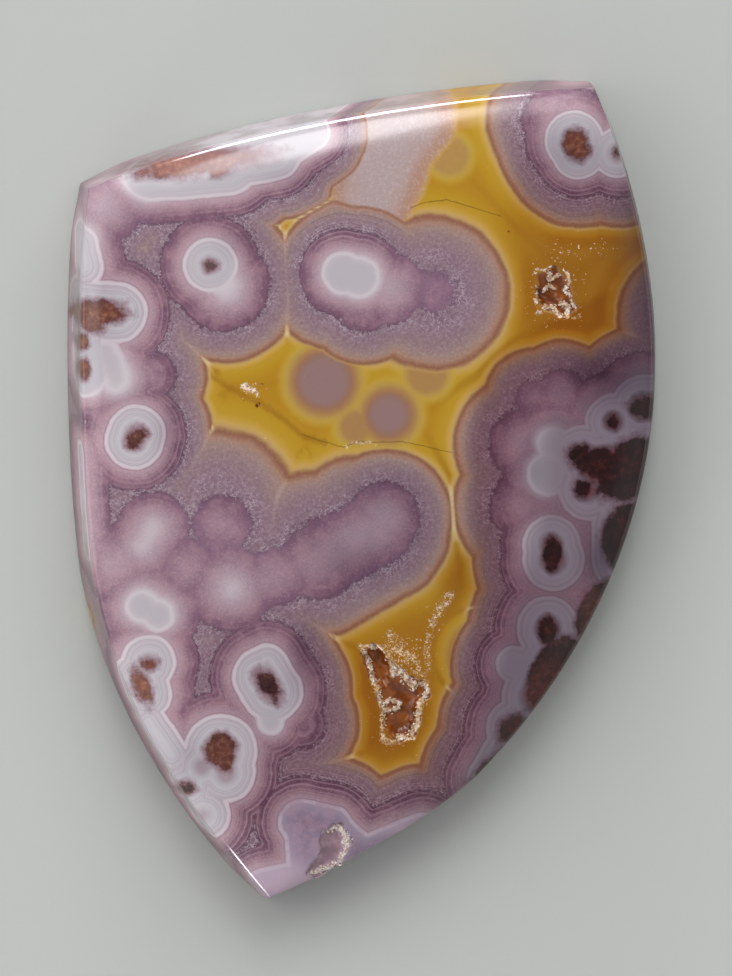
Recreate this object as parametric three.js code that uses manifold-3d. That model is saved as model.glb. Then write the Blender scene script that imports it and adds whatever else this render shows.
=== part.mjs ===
// Agate cabochon: a shield-shaped slice of banded agate with a flat back, a slightly leaning wall and a low
// polished dome. The face cuts three small hollows, and each is lined with a crust of quartz crystals.
// Millimetres, +Z up. The stone lies on its flat back, and the origin is the middle of that back.
import * as THREE from "three";
import { mergeVertices } from "three/addons/utils/BufferGeometryUtils.js";
import Module from "manifold-3d";

const wasm = await Module();
wasm.setup();

// Heights and slopes of the stone
const WALL_HEIGHT = 3.6; // from the back up to the arris, the edge where the wall meets the face
const WALL_FLARE = 0.36; // how far the foot of the wall stands out beyond the arris
const CORNER_FLARE = 0.18; // the same at the three corners, which are eased
const CORNER_REACH = 1.5; // how far along the outline a corner is eased
const BACK_CHAMFER = 0.25; // the small bevel round the back
const SHOULDER_RISE = 0.55; // the steep part of the face next to the arris
const SHOULDER_REACH = 0.6;
const DOME_RISE = 0.9; // the gentle part of the face
const DOME_REACH = 5;

// The arris seen from above, as its three sides, counter-clockwise from the upper left corner
const UPPER_LEFT = [-13.03, 14.23];
const TIP = [-4.59, -18.9];
const UPPER_RIGHT = [10.6, 18.85];
const LEFT_SIDE = new THREE.Path()
  .moveTo(...UPPER_LEFT)
  .bezierCurveTo(-13.7, 8.99, -13.42, 0.41, -12.84, -3.69)
  .bezierCurveTo(-11.93, -8.91, -9.04, -14.22, ...TIP);
const RIGHT_SIDE = new THREE.Path()
  .moveTo(...TIP)
  .bezierCurveTo(-1.3, -17.44, 2.98, -15.24, 5.08, -13.25)
  .bezierCurveTo(10.35, -7.97, 13.51, -1.03, 13.43, 6.1)
  .bezierCurveTo(13.44, 10.29, 12.33, 14.78, ...UPPER_RIGHT);
const TOP_SIDE = new THREE.Path()
  .moveTo(...UPPER_RIGHT)
  .bezierCurveTo(2.42, 18.54, -7.13, 16.77, ...UPPER_LEFT);
const SIDE_STEPS = [36, 44, 22]; // points along the left, right and top sides

// The hollows: every lobe is half an ellipsoid sunk into the face, with its place, half length, half width,
// the turn of its length from +X in degrees, and its depth
const HOLLOWS = {
  crystals_lower_hollow: {
    colour: 0xb06a1e,
    crystals: 30,
    lobes: [
      { x: 1.15, y: -9.5, long: 2.7, wide: 1.5, turn: -66, deep: 0.42 },
      { x: 0.65, y: -8.4, long: 1.3, wide: 0.75, turn: -52, deep: 1.15 },
      { x: 1.5, y: -10.7, long: 1.1, wide: 0.8, turn: -60, deep: 1.05 },
      { x: 2.5, y: -9.0, long: 0.6, wide: 0.5, turn: 10, deep: 0.65 },
    ],
  },
  crystals_upper_hollow: {
    colour: 0xc08a4a,
    crystals: 14,
    lobes: [
      { x: 8.75, y: 9.3, long: 1.4, wide: 1.0, turn: -70, deep: 0.4 },
      { x: 8.4, y: 9.15, long: 0.75, wide: 0.5, turn: -60, deep: 0.8 },
      { x: 9.1, y: 8.75, long: 0.5, wide: 0.45, turn: 0, deep: 0.7 },
    ],
  },
  crystals_tip_hollow: {
    colour: 0xcdb8b4,
    crystals: 12,
    lobes: [
      { x: -1.6, y: -16.4, long: 1.0, wide: 0.72, turn: 75, deep: 0.65 },
      { x: -2.15, y: -17.35, long: 0.8, wide: 0.4, turn: 35, deep: 0.4 },
    ],
  },
};
const LOBE_SEGMENTS = 12;
const CRUST_GAP = 0.05; // clear space between a crust and the stone round it
const CRUST_THICKNESS = 0.14;
const CRYSTAL_RADIUS = [0.1, 0.22];
const CRYSTAL_LENGTH = [0.25, 0.55];
const CRYSTAL_LEAN = 0.45; // how far crystals turn from square to the hollow's wall
const CRYSTAL_SIDES = 6;
const CRYSTAL_SHOULDER = 0.35; // where the point of a crystal begins, as a share of its length
const CRYSTAL_DOWN = [0.12, 1]; // where crystals stand on a lobe: 0 is its rim and 1 its bottom

const MERGE_DISTANCE = 1e-4; // vertices nearer than this are one

// Numbers from 0 to 1 that are the same in every run, by the usual multiply-and-add rule
const RANDOM_RULE = { multiply: 1664525, add: 1013904223, wrap: 2 ** 32 };
function seededRandom(seed) {
  let state = seed;
  return () => {
    state = (state * RANDOM_RULE.multiply + RANDOM_RULE.add) % RANDOM_RULE.wrap;
    return state / RANDOM_RULE.wrap;
  };
}

const between = ([low, high], share) => low + (high - low) * share;

// The points of one side; the last is left to the next side
function pointsOf(side, steps) {
  return side.getSpacedPoints(steps).slice(0, steps);
}

const SIDES = [LEFT_SIDE, RIGHT_SIDE, TOP_SIDE];
const SIDE_LINES = SIDES.map((side, i) => side.getSpacedPoints(2 * SIDE_STEPS[i]));
const ARRIS = SIDES.flatMap((side, i) => pointsOf(side, SIDE_STEPS[i]));

function distanceToLine(point, line) {
  let nearest = Infinity;
  for (let i = 1; i < line.length; i++) {
    const along = line[i].clone().sub(line[i - 1]);
    const offset = point.clone().sub(line[i - 1]);
    const share = THREE.MathUtils.clamp(offset.dot(along) / along.lengthSq(), 0, 1);
    nearest = Math.min(nearest, offset.addScaledVector(along, -share).length());
  }
  return nearest;
}

// Height of the polished face: it rises away from all three sides at once, steeply at first
function faceHeight(x, y) {
  const distances = SIDE_LINES.map((line) => distanceToLine(new THREE.Vector2(x, y), line));
  const rise = (reach) =>
    distances.reduce((product, d) => product * (1 - Math.exp(-d / reach)), 1);
  return WALL_HEIGHT + SHOULDER_RISE * rise(SHOULDER_REACH) + DOME_RISE * rise(DOME_REACH);
}

// The outward direction at each point of the arris
const OUTWARD = ARRIS.map((point, i) => {
  const next = ARRIS[(i + 1) % ARRIS.length];
  const last = ARRIS[(i + ARRIS.length - 1) % ARRIS.length];
  return new THREE.Vector2(next.y - last.y, last.x - next.x).normalize();
});

// How far the foot of the wall stands out at each point: less at the corners
const FLARE = ARRIS.map((point) => {
  const corner = Math.min(
    ...[UPPER_LEFT, TIP, UPPER_RIGHT].map(([x, y]) => Math.hypot(point.x - x, point.y - y)),
  );
  return THREE.MathUtils.lerp(
    WALL_FLARE, CORNER_FLARE, Math.exp(-((corner / CORNER_REACH) ** 2)),
  );
});

// The stone is a turned profile whose round rings are moved on to the outline. A station of the profile says
// where its ring lies: a share of the way from the middle to the arris, and the share of the flare, or a height.
const FACE_SHARES = [0.985, 0.96, 0.925, 0.87, 0.78, 0.65, 0.5, 0.33, 0.16, 0];
const STATIONS = [
  { share: 0, flare: 0, z: 0 },
  { share: 1, flare: 1, inset: BACK_CHAMFER, z: 0 },
  { share: 1, flare: 1, z: BACK_CHAMFER },
  { share: 1, flare: 0, z: WALL_HEIGHT },
  ...FACE_SHARES.map((share) => ({ share, flare: 0 })),
];

function stationPoint(column, station) {
  const out = FLARE[column] * station.flare - (station.inset ?? 0);
  const flat = ARRIS[column].clone().addScaledVector(OUTWARD[column], out)
    .multiplyScalar(station.share);
  return [flat.x, flat.y, station.z ?? faceHeight(flat.x, flat.y)];
}

function stoneGeometry() {
  const profile = STATIONS.map((station, row) => new THREE.Vector2(station.share, row));
  const turned = new THREE.LatheGeometry(profile, ARRIS.length);
  const position = turned.getAttribute("position");
  for (let i = 0; i < position.count; i++) {
    const column = Math.floor(i / STATIONS.length) % ARRIS.length;
    position.setXYZ(i, ...stationPoint(column, STATIONS[i % STATIONS.length]));
  }
  return turned;
}

// A closed three.js geometry as a solid for joining and cutting
function solidOf(geometry) {
  const bare = geometry.clone();
  bare.deleteAttribute("normal");
  bare.deleteAttribute("uv");
  const merged = mergeVertices(bare, MERGE_DISTANCE);
  return new wasm.Manifold(new wasm.Mesh({
    numProp: 3,
    vertProperties: merged.getAttribute("position").array,
    triVerts: new Uint32Array(merged.index.array),
  }));
}

function geometryOf(solid) {
  const mesh = solid.getMesh();
  const geometry = new THREE.BufferGeometry();
  geometry.setAttribute("position", new THREE.BufferAttribute(mesh.vertProperties, 3));
  geometry.setIndex(new THREE.BufferAttribute(mesh.triVerts, 1));
  return geometry;
}

const union = (solids) => solids.reduce((all, solid) => all.add(solid));

// One lobe of a hollow as a whole ellipsoid, made smaller all round by shrink
function lobeSolid(lobe, shrink) {
  const geometry = new THREE.SphereGeometry(1, LOBE_SEGMENTS, LOBE_SEGMENTS / 2);
  geometry.rotateX(Math.PI / 2);
  geometry.scale(lobe.long - shrink, lobe.wide - shrink, lobe.deep - shrink);
  geometry.rotateZ(THREE.MathUtils.degToRad(lobe.turn));
  geometry.translate(lobe.x, lobe.y, faceHeight(lobe.x, lobe.y));
  return solidOf(geometry);
}

const bowlSolid = (hollow, shrink) =>
  union(hollow.lobes.map((lobe) => lobeSolid(lobe, shrink)));

// A six-sided quartz point that stands on the wall of a lobe and leans a little
function crystalSolid(lobe, random) {
  const radius = between(CRYSTAL_RADIUS, random());
  const length = between(CRYSTAL_LENGTH, random());
  const point = new THREE.LatheGeometry(
    [[0, -length], [radius, -length], [radius, CRYSTAL_SHOULDER * length], [0, length]]
      .map(([x, y]) => new THREE.Vector2(x, y)),
    CRYSTAL_SIDES,
  );
  const round = 2 * Math.PI * random();
  const down = (Math.PI / 2) * between(CRYSTAL_DOWN, random());
  const wall = new THREE.Vector3(
    lobe.long * Math.cos(round) * Math.cos(down),
    lobe.wide * Math.sin(round) * Math.cos(down),
    -lobe.deep * Math.sin(down),
  );
  const inward = wall.clone().negate()
    .divide(new THREE.Vector3(lobe.long ** 2, lobe.wide ** 2, lobe.deep ** 2)).normalize();
  inward.x += CRYSTAL_LEAN * (random() - 0.5);
  inward.y += CRYSTAL_LEAN * (random() - 0.5);
  point.applyQuaternion(
    new THREE.Quaternion().setFromUnitVectors(new THREE.Vector3(0, 1, 0), inward.normalize()),
  );
  point.translate(wall.x, wall.y, wall.z);
  point.rotateZ(THREE.MathUtils.degToRad(lobe.turn));
  point.translate(lobe.x, lobe.y, faceHeight(lobe.x, lobe.y));
  return solidOf(point);
}

// The crust: a thin lining and its crystals, kept inside the hollow and just under the face
function crustSolid(hollow, whole, seed) {
  const random = seededRandom(seed);
  const room = bowlSolid(hollow, CRUST_GAP).intersect(whole.translate([0, 0, -CRUST_GAP]));
  const lining = room.subtract(bowlSolid(hollow, CRUST_GAP + CRUST_THICKNESS));
  const crystals = Array.from({ length: hollow.crystals }, (_, i) =>
    crystalSolid(hollow.lobes[i % hollow.lobes.length], random));
  const crust = lining.add(union(crystals).intersect(room));
  return crust.decompose().sort((a, b) => b.volume() - a.volume())[0];
}

function meshOf(name, solid, material) {
  const mesh = new THREE.Mesh(geometryOf(solid), new THREE.MeshStandardMaterial(material));
  mesh.name = name;
  return mesh;
}

const wholeStone = solidOf(stoneGeometry());
const hollows = Object.entries(HOLLOWS);
const cutStone = hollows.reduce(
  (stone, [, hollow]) => stone.subtract(bowlSolid(hollow, 0)), wholeStone,
);

const cabochon = new THREE.Group();
cabochon.add(meshOf("agate_stone", cutStone, { color: 0x9a7a92, roughness: 0.12, metalness: 0 }));
hollows.forEach(([name, hollow], i) => {
  const crust = crustSolid(hollow, wholeStone, i + 1);
  cabochon.add(meshOf(name, crust, { color: hollow.colour, roughness: 0.1, metalness: 0 }));
});

export default cabochon;
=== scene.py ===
# %% [markdown]
# A banded agate, cut and polished as a shield-shaped cabochon.
# Agate grows inwards from the wall of a cavity, layer on layer, and here it also grew round
# needles and tubes, so that every cut shows rings, called eyes. The layers always come in the
# same order: a brown core, white, pink, purple, a sandy grey, a brown line and a golden fill.
# So one number, the growth in millimetres since the core, is enough to paint the whole stone.
# That number is worked out with numpy for each vertex, and a material turns it into colour.

# %% Load the frame
import math

import bpy
import numpy as np
from mathutils import Matrix, Vector


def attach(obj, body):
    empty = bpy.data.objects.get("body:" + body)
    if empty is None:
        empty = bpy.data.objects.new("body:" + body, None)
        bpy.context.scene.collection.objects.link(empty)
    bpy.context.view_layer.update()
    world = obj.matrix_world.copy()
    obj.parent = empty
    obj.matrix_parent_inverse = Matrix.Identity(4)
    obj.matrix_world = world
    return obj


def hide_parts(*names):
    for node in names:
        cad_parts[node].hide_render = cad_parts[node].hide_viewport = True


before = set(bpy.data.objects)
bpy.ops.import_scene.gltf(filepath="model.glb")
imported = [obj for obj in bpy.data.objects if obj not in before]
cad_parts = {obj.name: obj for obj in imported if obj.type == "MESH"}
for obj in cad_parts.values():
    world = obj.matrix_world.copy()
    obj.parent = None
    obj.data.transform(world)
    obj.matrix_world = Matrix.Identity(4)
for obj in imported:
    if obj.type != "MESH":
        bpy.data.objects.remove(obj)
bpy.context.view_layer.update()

MM = 0.001

# %% [markdown]
# First the camera, because the whole picture depends on it. The stone is seen from almost
# straight above through a long lens, a little from the left and the wide end, so that the wall
# shows as a narrow strip along the left and the top.

# %% Camera
IMAGE_HEIGHT = 976
MM_PER_PIXEL = 0.0466
LENS, SENSOR = 900.0, 36.0
LEAN_LEFT, LEAN_TOP = math.radians(5.0), math.radians(3.2)
AIM = Vector((-0.09, 0.23, 3.6)) * MM

view_height = IMAGE_HEIGHT * MM_PER_PIXEL * MM
camera_data = bpy.data.cameras.new("camera")
camera_data.lens = LENS
camera_data.sensor_width = SENSOR
camera_data.clip_start = 0.01
camera = bpy.data.objects.new("camera", camera_data)
bpy.context.collection.objects.link(camera)
towards = Vector((-math.sin(LEAN_LEFT), math.sin(LEAN_TOP), 0.0))
towards.z = math.sqrt(1 - towards.length_squared)
camera.location = AIM + towards * (view_height * LENS / SENSOR)
across = Vector((0, 1, 0)).cross(towards).normalized()
turn = Matrix((across, towards.cross(across), towards)).transposed()
camera.rotation_euler = turn.to_euler()
bpy.context.scene.camera = camera
print("camera", round(camera.location.length * 1000), "mm from the stone")

# %% [markdown]
# The outline is three curved sides that meet in three corners. Each side is one or more Bezier
# curves, sampled at equal steps along its length, so that the corners are hit exactly.

# %% Outline of the face
UPPER_LEFT, TIP, UPPER_RIGHT = (-13.03, 14.23), (-4.59, -18.9), (10.6, 18.85)
SIDES = {
    "left": [
        [UPPER_LEFT, (-13.7, 8.99), (-13.42, 0.41), (-12.84, -3.69)],
        [(-12.84, -3.69), (-11.93, -8.91), (-9.04, -14.22), TIP],
    ],
    "right": [
        [TIP, (-1.3, -17.44), (2.98, -15.24), (5.08, -13.25)],
        [(5.08, -13.25), (10.35, -7.97), (13.51, -1.03), (13.43, 6.1)],
        [(13.43, 6.1), (13.44, 10.29), (12.33, 14.78), UPPER_RIGHT],
    ],
    "top": [[UPPER_RIGHT, (2.42, 18.54), (-7.13, 16.77), UPPER_LEFT]],
}
DENSE = 200


def bezier(points, t):
    """Cubic Bezier: each control point times its share, (1-t)^3, 3t(1-t)^2, 3t^2(1-t) and t^3."""
    shares = np.stack([(1 - t) ** 3, 3 * t * (1 - t) ** 2, 3 * t**2 * (1 - t), t**3], axis=1)
    return shares @ np.array(points)


def even_points(line, count):
    """Count + 1 points at equal steps of length along a line of many points."""
    length = np.concatenate([[0], np.cumsum(np.linalg.norm(np.diff(line, axis=0), axis=1))])
    wanted = np.linspace(0, length[-1], count + 1)
    return np.stack([np.interp(wanted, length, line[:, k]) for k in range(2)], axis=1)


side_lines = {
    name: np.concatenate([bezier(curve, np.linspace(0, 1, DENSE)) for curve in curves])
    for name, curves in SIDES.items()
}
side_lengths = {
    name: float(np.linalg.norm(np.diff(line, axis=0), axis=1).sum())
    for name, line in side_lines.items()
}
print("side lengths in mm:", {name: round(v, 1) for name, v in side_lengths.items()})

# %% [markdown]
# The polished face is a low dome. A cutter grinds a steep shoulder along the edge first and
# then the gentle top, and both fade towards the nearest side. So the height is worked out from
# the distances to the three sides.

# %% Height of the face
WALL_HEIGHT = 3.6
SHOULDER_RISE, SHOULDER_REACH = 0.55, 0.6
DOME_RISE, DOME_REACH = 0.9, 5.0
HEIGHT_SEGMENTS = 90
height_lines = [even_points(line, HEIGHT_SEGMENTS) for line in side_lines.values()]


def distance_to_line(points, line):
    """Distance from each point to the nearest segment of a line, all pairs at once."""
    start, along = line[:-1], np.diff(line, axis=0)
    offset = points[:, None, :] - start[None]
    share = np.clip((offset * along).sum(-1) / (along**2).sum(-1), 0, 1)
    return np.linalg.norm(offset - share[..., None] * along, axis=-1).min(axis=1)


def face_height(points):
    """Wall height, plus each rise times the product over the sides of 1 - exp(-distance / reach)."""
    distances = np.stack([distance_to_line(points, line) for line in height_lines])
    shoulder = np.prod(1 - np.exp(-distances / SHOULDER_REACH), axis=0)
    dome = np.prod(1 - np.exp(-distances / DOME_REACH), axis=0)
    return WALL_HEIGHT + SHOULDER_RISE * shoulder + DOME_RISE * dome


print("middle of the face at", face_height(np.zeros((1, 2))).round(2), "mm")

# %% [markdown]
# Where the growing layers never met, small hollows were left, lined with quartz crystals. The
# face cuts three of them. Each is a few overlapping bowls, and a ripple keeps their rims from
# being plain ellipses.

# %% Hollows
HOLLOWS = {
    "crystals_lower_hollow": [
        dict(x=1.42, y=-9.75, long=1.65, wide=0.92, turn=-82, deep=0.95),
        dict(x=0.42, y=-8.1, long=1.1, wide=0.58, turn=-62, deep=1.0),
        dict(x=1.45, y=-10.6, long=0.9, wide=0.7, turn=-70, deep=1.15),
        dict(x=2.25, y=-9.15, long=0.6, wide=0.42, turn=-30, deep=0.6),
    ],
    "crystals_upper_hollow": [
        dict(x=8.65, y=9.4, long=1.1, wide=0.7, turn=-75, deep=0.45),
        dict(x=8.4, y=9.15, long=0.7, wide=0.45, turn=-60, deep=0.75),
        dict(x=9.1, y=8.75, long=0.5, wide=0.42, turn=0, deep=0.6),
    ],
    "crystals_tip_hollow": [
        dict(x=-1.6, y=-16.4, long=1.0, wide=0.72, turn=75, deep=0.65),
        dict(x=-2.15, y=-17.35, long=0.8, wide=0.4, turn=35, deep=0.4),
    ],
}
RIM_RIPPLE = 0.10


def in_lobe(points, lobe):
    """Squared distance from a lobe's middle in units of its half axes: 1 is its rim."""
    turn = math.radians(lobe["turn"])
    dx, dy = points[:, 0] - lobe["x"], points[:, 1] - lobe["y"]
    along = (dx * math.cos(turn) + dy * math.sin(turn)) / lobe["long"]
    across = (dy * math.cos(turn) - dx * math.sin(turn)) / lobe["wide"]
    angle = np.arctan2(across, along)
    ripple = 1 + RIM_RIPPLE * (np.sin(5 * angle + 3 * lobe["x"]) + 0.6 * np.sin(11 * angle + lobe["y"]))
    return (along**2 + across**2) / ripple**2


def hollow_depth(points, lobes):
    """Depth under the face: the deepest of the bowls, each deep * sqrt(1 - squared distance)."""
    bowls = [lobe["deep"] * np.sqrt(np.clip(1 - in_lobe(points, lobe), 0, 1)) for lobe in lobes]
    return np.max(bowls, axis=0)


ALL_LOBES = [lobe for lobes in HOLLOWS.values() for lobe in lobes]
print(len(ALL_LOBES), "bowls in", len(HOLLOWS), "hollows")

# %% [markdown]
# The surface of the stone is one closed sheet. The face is a square grid whose rings are laid
# on scaled copies of the outline: every ring of a square grid has eight points more than the
# last, so the spacing stays the same from the middle to the edge, unlike a fan of spokes. Below
# it come the rounded arris, the wall, the bevel and a coarser grid of the same kind as the back.

# %% Grids on the outline
RINGS = 130
ARRIS_ROUND, ARRIS_STEPS = 0.12, (0.25, 0.5, 0.75, 1.0)
WALL_FLARE, CORNER_FLARE, CORNER_REACH = 0.36, 0.18, 1.5
BACK_CHAMFER = 0.25
WALL_ROWS = 8


def rim_loop(count):
    """Count points round the outline, shared among the sides by their lengths."""
    total = sum(side_lengths.values())
    steps = [round(count * length / total) for length in side_lengths.values()]
    steps[-1] = count - sum(steps[:-1])
    parts = [even_points(line, step)[:-1] for line, step in zip(side_lines.values(), steps)]
    return np.concatenate(parts)


def outward_of(loop):
    """Unit vector square to the line between a point's two neighbours."""
    along = np.roll(loop, -1, axis=0) - np.roll(loop, 1, axis=0)
    out = np.stack([along[:, 1], -along[:, 0]], axis=1)
    return out / np.linalg.norm(out, axis=1, keepdims=True)


def square_grid(rings):
    """Ring number over rings, and the place round the ring from 0 to 8, for a square grid."""
    j, i = np.mgrid[-rings : rings + 1, -rings : rings + 1]
    share = np.maximum(abs(i), abs(j)) / rings
    safe = np.where(share > 0, share * rings, 1)
    a, b = i / safe, j / safe
    place = np.select(
        [(b <= -1) & (a < 1), (a >= 1) & (b < 1), (b >= 1) & (a > -1)],
        [a + 1, b + 3, 5 - a],
        7 - b,
    )
    return share.ravel(), place.ravel()


def on_loop(loop, rings, share, place):
    """The loop at that place round it, scaled by the share."""
    closed = np.concatenate([loop, loop[:1]])
    spots = np.arange(len(closed)) / rings
    return np.stack([np.interp(place, spots, closed[:, k]) for k in range(2)], axis=1) * share[:, None]


def grid_quads(rings):
    """Corner numbers of every square of the grid, counter-clockwise from above."""
    side = 2 * rings + 1
    first = (np.arange(side - 1)[:, None] * side + np.arange(side - 1)).ravel()
    return np.stack([first, first + 1, first + side + 1, first + side], axis=1)


def grid_rim(rings):
    """Numbers of the rim's vertices in the order of their places."""
    side = 2 * rings + 1
    row = np.arange(side - 1)
    bottom, right = row, row * side + side - 1
    return np.concatenate([bottom, right, side * side - 1 - row, (side - 1 - row) * side])


print("face grid of", RINGS, "rings, the outermost of", 8 * RINGS, "points")

# %% The stone's surface
rim = rim_loop(8 * RINGS)
outward = outward_of(rim)
face_corners = np.array([UPPER_LEFT, TIP, UPPER_RIGHT])
corner_distance = np.linalg.norm(rim[:, None] - face_corners, axis=2).min(axis=1)
flare = WALL_FLARE + (CORNER_FLARE - WALL_FLARE) * np.exp(-((corner_distance / CORNER_REACH) ** 2))
face_edge = rim - outward * ARRIS_ROUND

share, place = square_grid(RINGS)
face_xy = on_loop(face_edge, RINGS, share, place)
face_z = face_height(face_xy)
face_z = face_z - hollow_depth(face_xy, ALL_LOBES)
face = np.column_stack([face_xy, face_z])


def wall_row(out, z):
    """The outline moved outwards by out times the flare, at height z."""
    return np.column_stack([rim + outward * (flare * out)[:, None], np.full(len(rim), z)])


arris = np.column_stack([rim, np.full(len(rim), WALL_HEIGHT)])
edge_above = face[grid_rim(RINGS)]
edge_below = wall_row(ARRIS_ROUND / WALL_HEIGHT, WALL_HEIGHT - ARRIS_ROUND)
rows = [
    (1 - t) ** 2 * edge_above + 2 * t * (1 - t) * arris + t**2 * edge_below
    for t in ARRIS_STEPS
]
for z in np.linspace(WALL_HEIGHT - ARRIS_ROUND, BACK_CHAMFER, WALL_ROWS + 1)[1:]:
    rows.append(wall_row((WALL_HEIGHT - z) / (WALL_HEIGHT - BACK_CHAMFER), z))
foot = rows[-1][:, :2] - outward * BACK_CHAMFER
rows.append(np.column_stack([foot, np.zeros(len(rim))]))

back_rings = RINGS // 2
back_share, back_place = square_grid(back_rings)
back_edge = (foot - outward * BACK_CHAMFER)[::2]
back_xy = on_loop(back_edge, back_rings, back_share, back_place)
back = np.column_stack([back_xy, np.zeros(len(back_xy))])
print(len(rows), "rows between the face and the back")

# %% Faces of the stone
vertices = np.concatenate([face, *rows, back])
loops = [grid_rim(RINGS)]
for k in range(len(rows)):
    loops.append(len(face) + k * len(rim) + np.arange(len(rim)))
back_start = len(face) + len(rows) * len(rim)
quads = [grid_quads(RINGS)]
for above, below in zip(loops[:-1], loops[1:]):
    quads.append(np.stack([above, below, np.roll(below, -1), np.roll(above, -1)], axis=1))
quads.append(back_start + grid_quads(back_rings)[:, ::-1])
quads = np.concatenate(quads)

last, inner = loops[-1], back_start + grid_rim(back_rings)
first, middle, third = last[::2], last[1::2], np.roll(last[::2], -1)
after = np.roll(inner, -1)
triangles = np.concatenate([
    np.stack([first, inner, middle], axis=1),
    np.stack([middle, inner, after], axis=1),
    np.stack([middle, after, third], axis=1),
])
print(len(vertices), "vertices and", 2 * len(quads) + len(triangles), "triangles")

# %% [markdown]
# Blender takes whole arrays of corners with foreach_set, which is quick. The piece's object stays
# at the origin and its place is in its mesh, as for a CAD node.

# %% Make a piece from arrays
def make_piece(name, points, quads=(), triangles=(), smooth=True):
    """A mesh object at the origin from points in mm and corner numbers, with foreach_set."""
    mesh = bpy.data.meshes.new(name)
    corners = np.concatenate([np.ravel(quads), np.ravel(triangles)]).astype(np.int32)
    sizes = np.concatenate([np.full(len(quads), 4), np.full(len(triangles), 3)]).astype(np.int32)
    mesh.vertices.add(len(points))
    mesh.vertices.foreach_set("co", (np.asarray(points) * MM).astype(np.float32).ravel())
    mesh.loops.add(len(corners))
    mesh.loops.foreach_set("vertex_index", corners)
    mesh.polygons.add(len(sizes))
    mesh.polygons.foreach_set("loop_start", np.concatenate([[0], np.cumsum(sizes)[:-1]]).astype(np.int32))
    mesh.polygons.foreach_set("use_smooth", np.full(len(sizes), smooth))
    mesh.update(calc_edges=True)
    mesh.validate()
    piece = bpy.data.objects.new(name, mesh)
    bpy.context.collection.objects.link(piece)
    return piece


stone = make_piece("agate", vertices, quads, triangles)
print("stone made,", len(stone.data.polygons), "faces")

# %% [markdown]
# Now the growth. A seed is where an eye began: a spot, or a tube between two places. Level is
# the growth that already shows at its middle on the face: below 0 the brown core is cut, and
# above 0 the core lies deeper down and only a plain disc shows. Depth is how deep in mm, which
# softens the middle, and spread is how many mm one unit of growth takes there.

# %% Seeds of growth
def spot(x, y, level, depth=0.0, spread=1.0):
    """A round seed."""
    return x, y, x, y, level, depth, spread


def tube(x, y, x2, y2, level, depth=0.0, spread=1.0):
    """A long seed between two places."""
    return x, y, x2, y2, level, depth, spread


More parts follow.
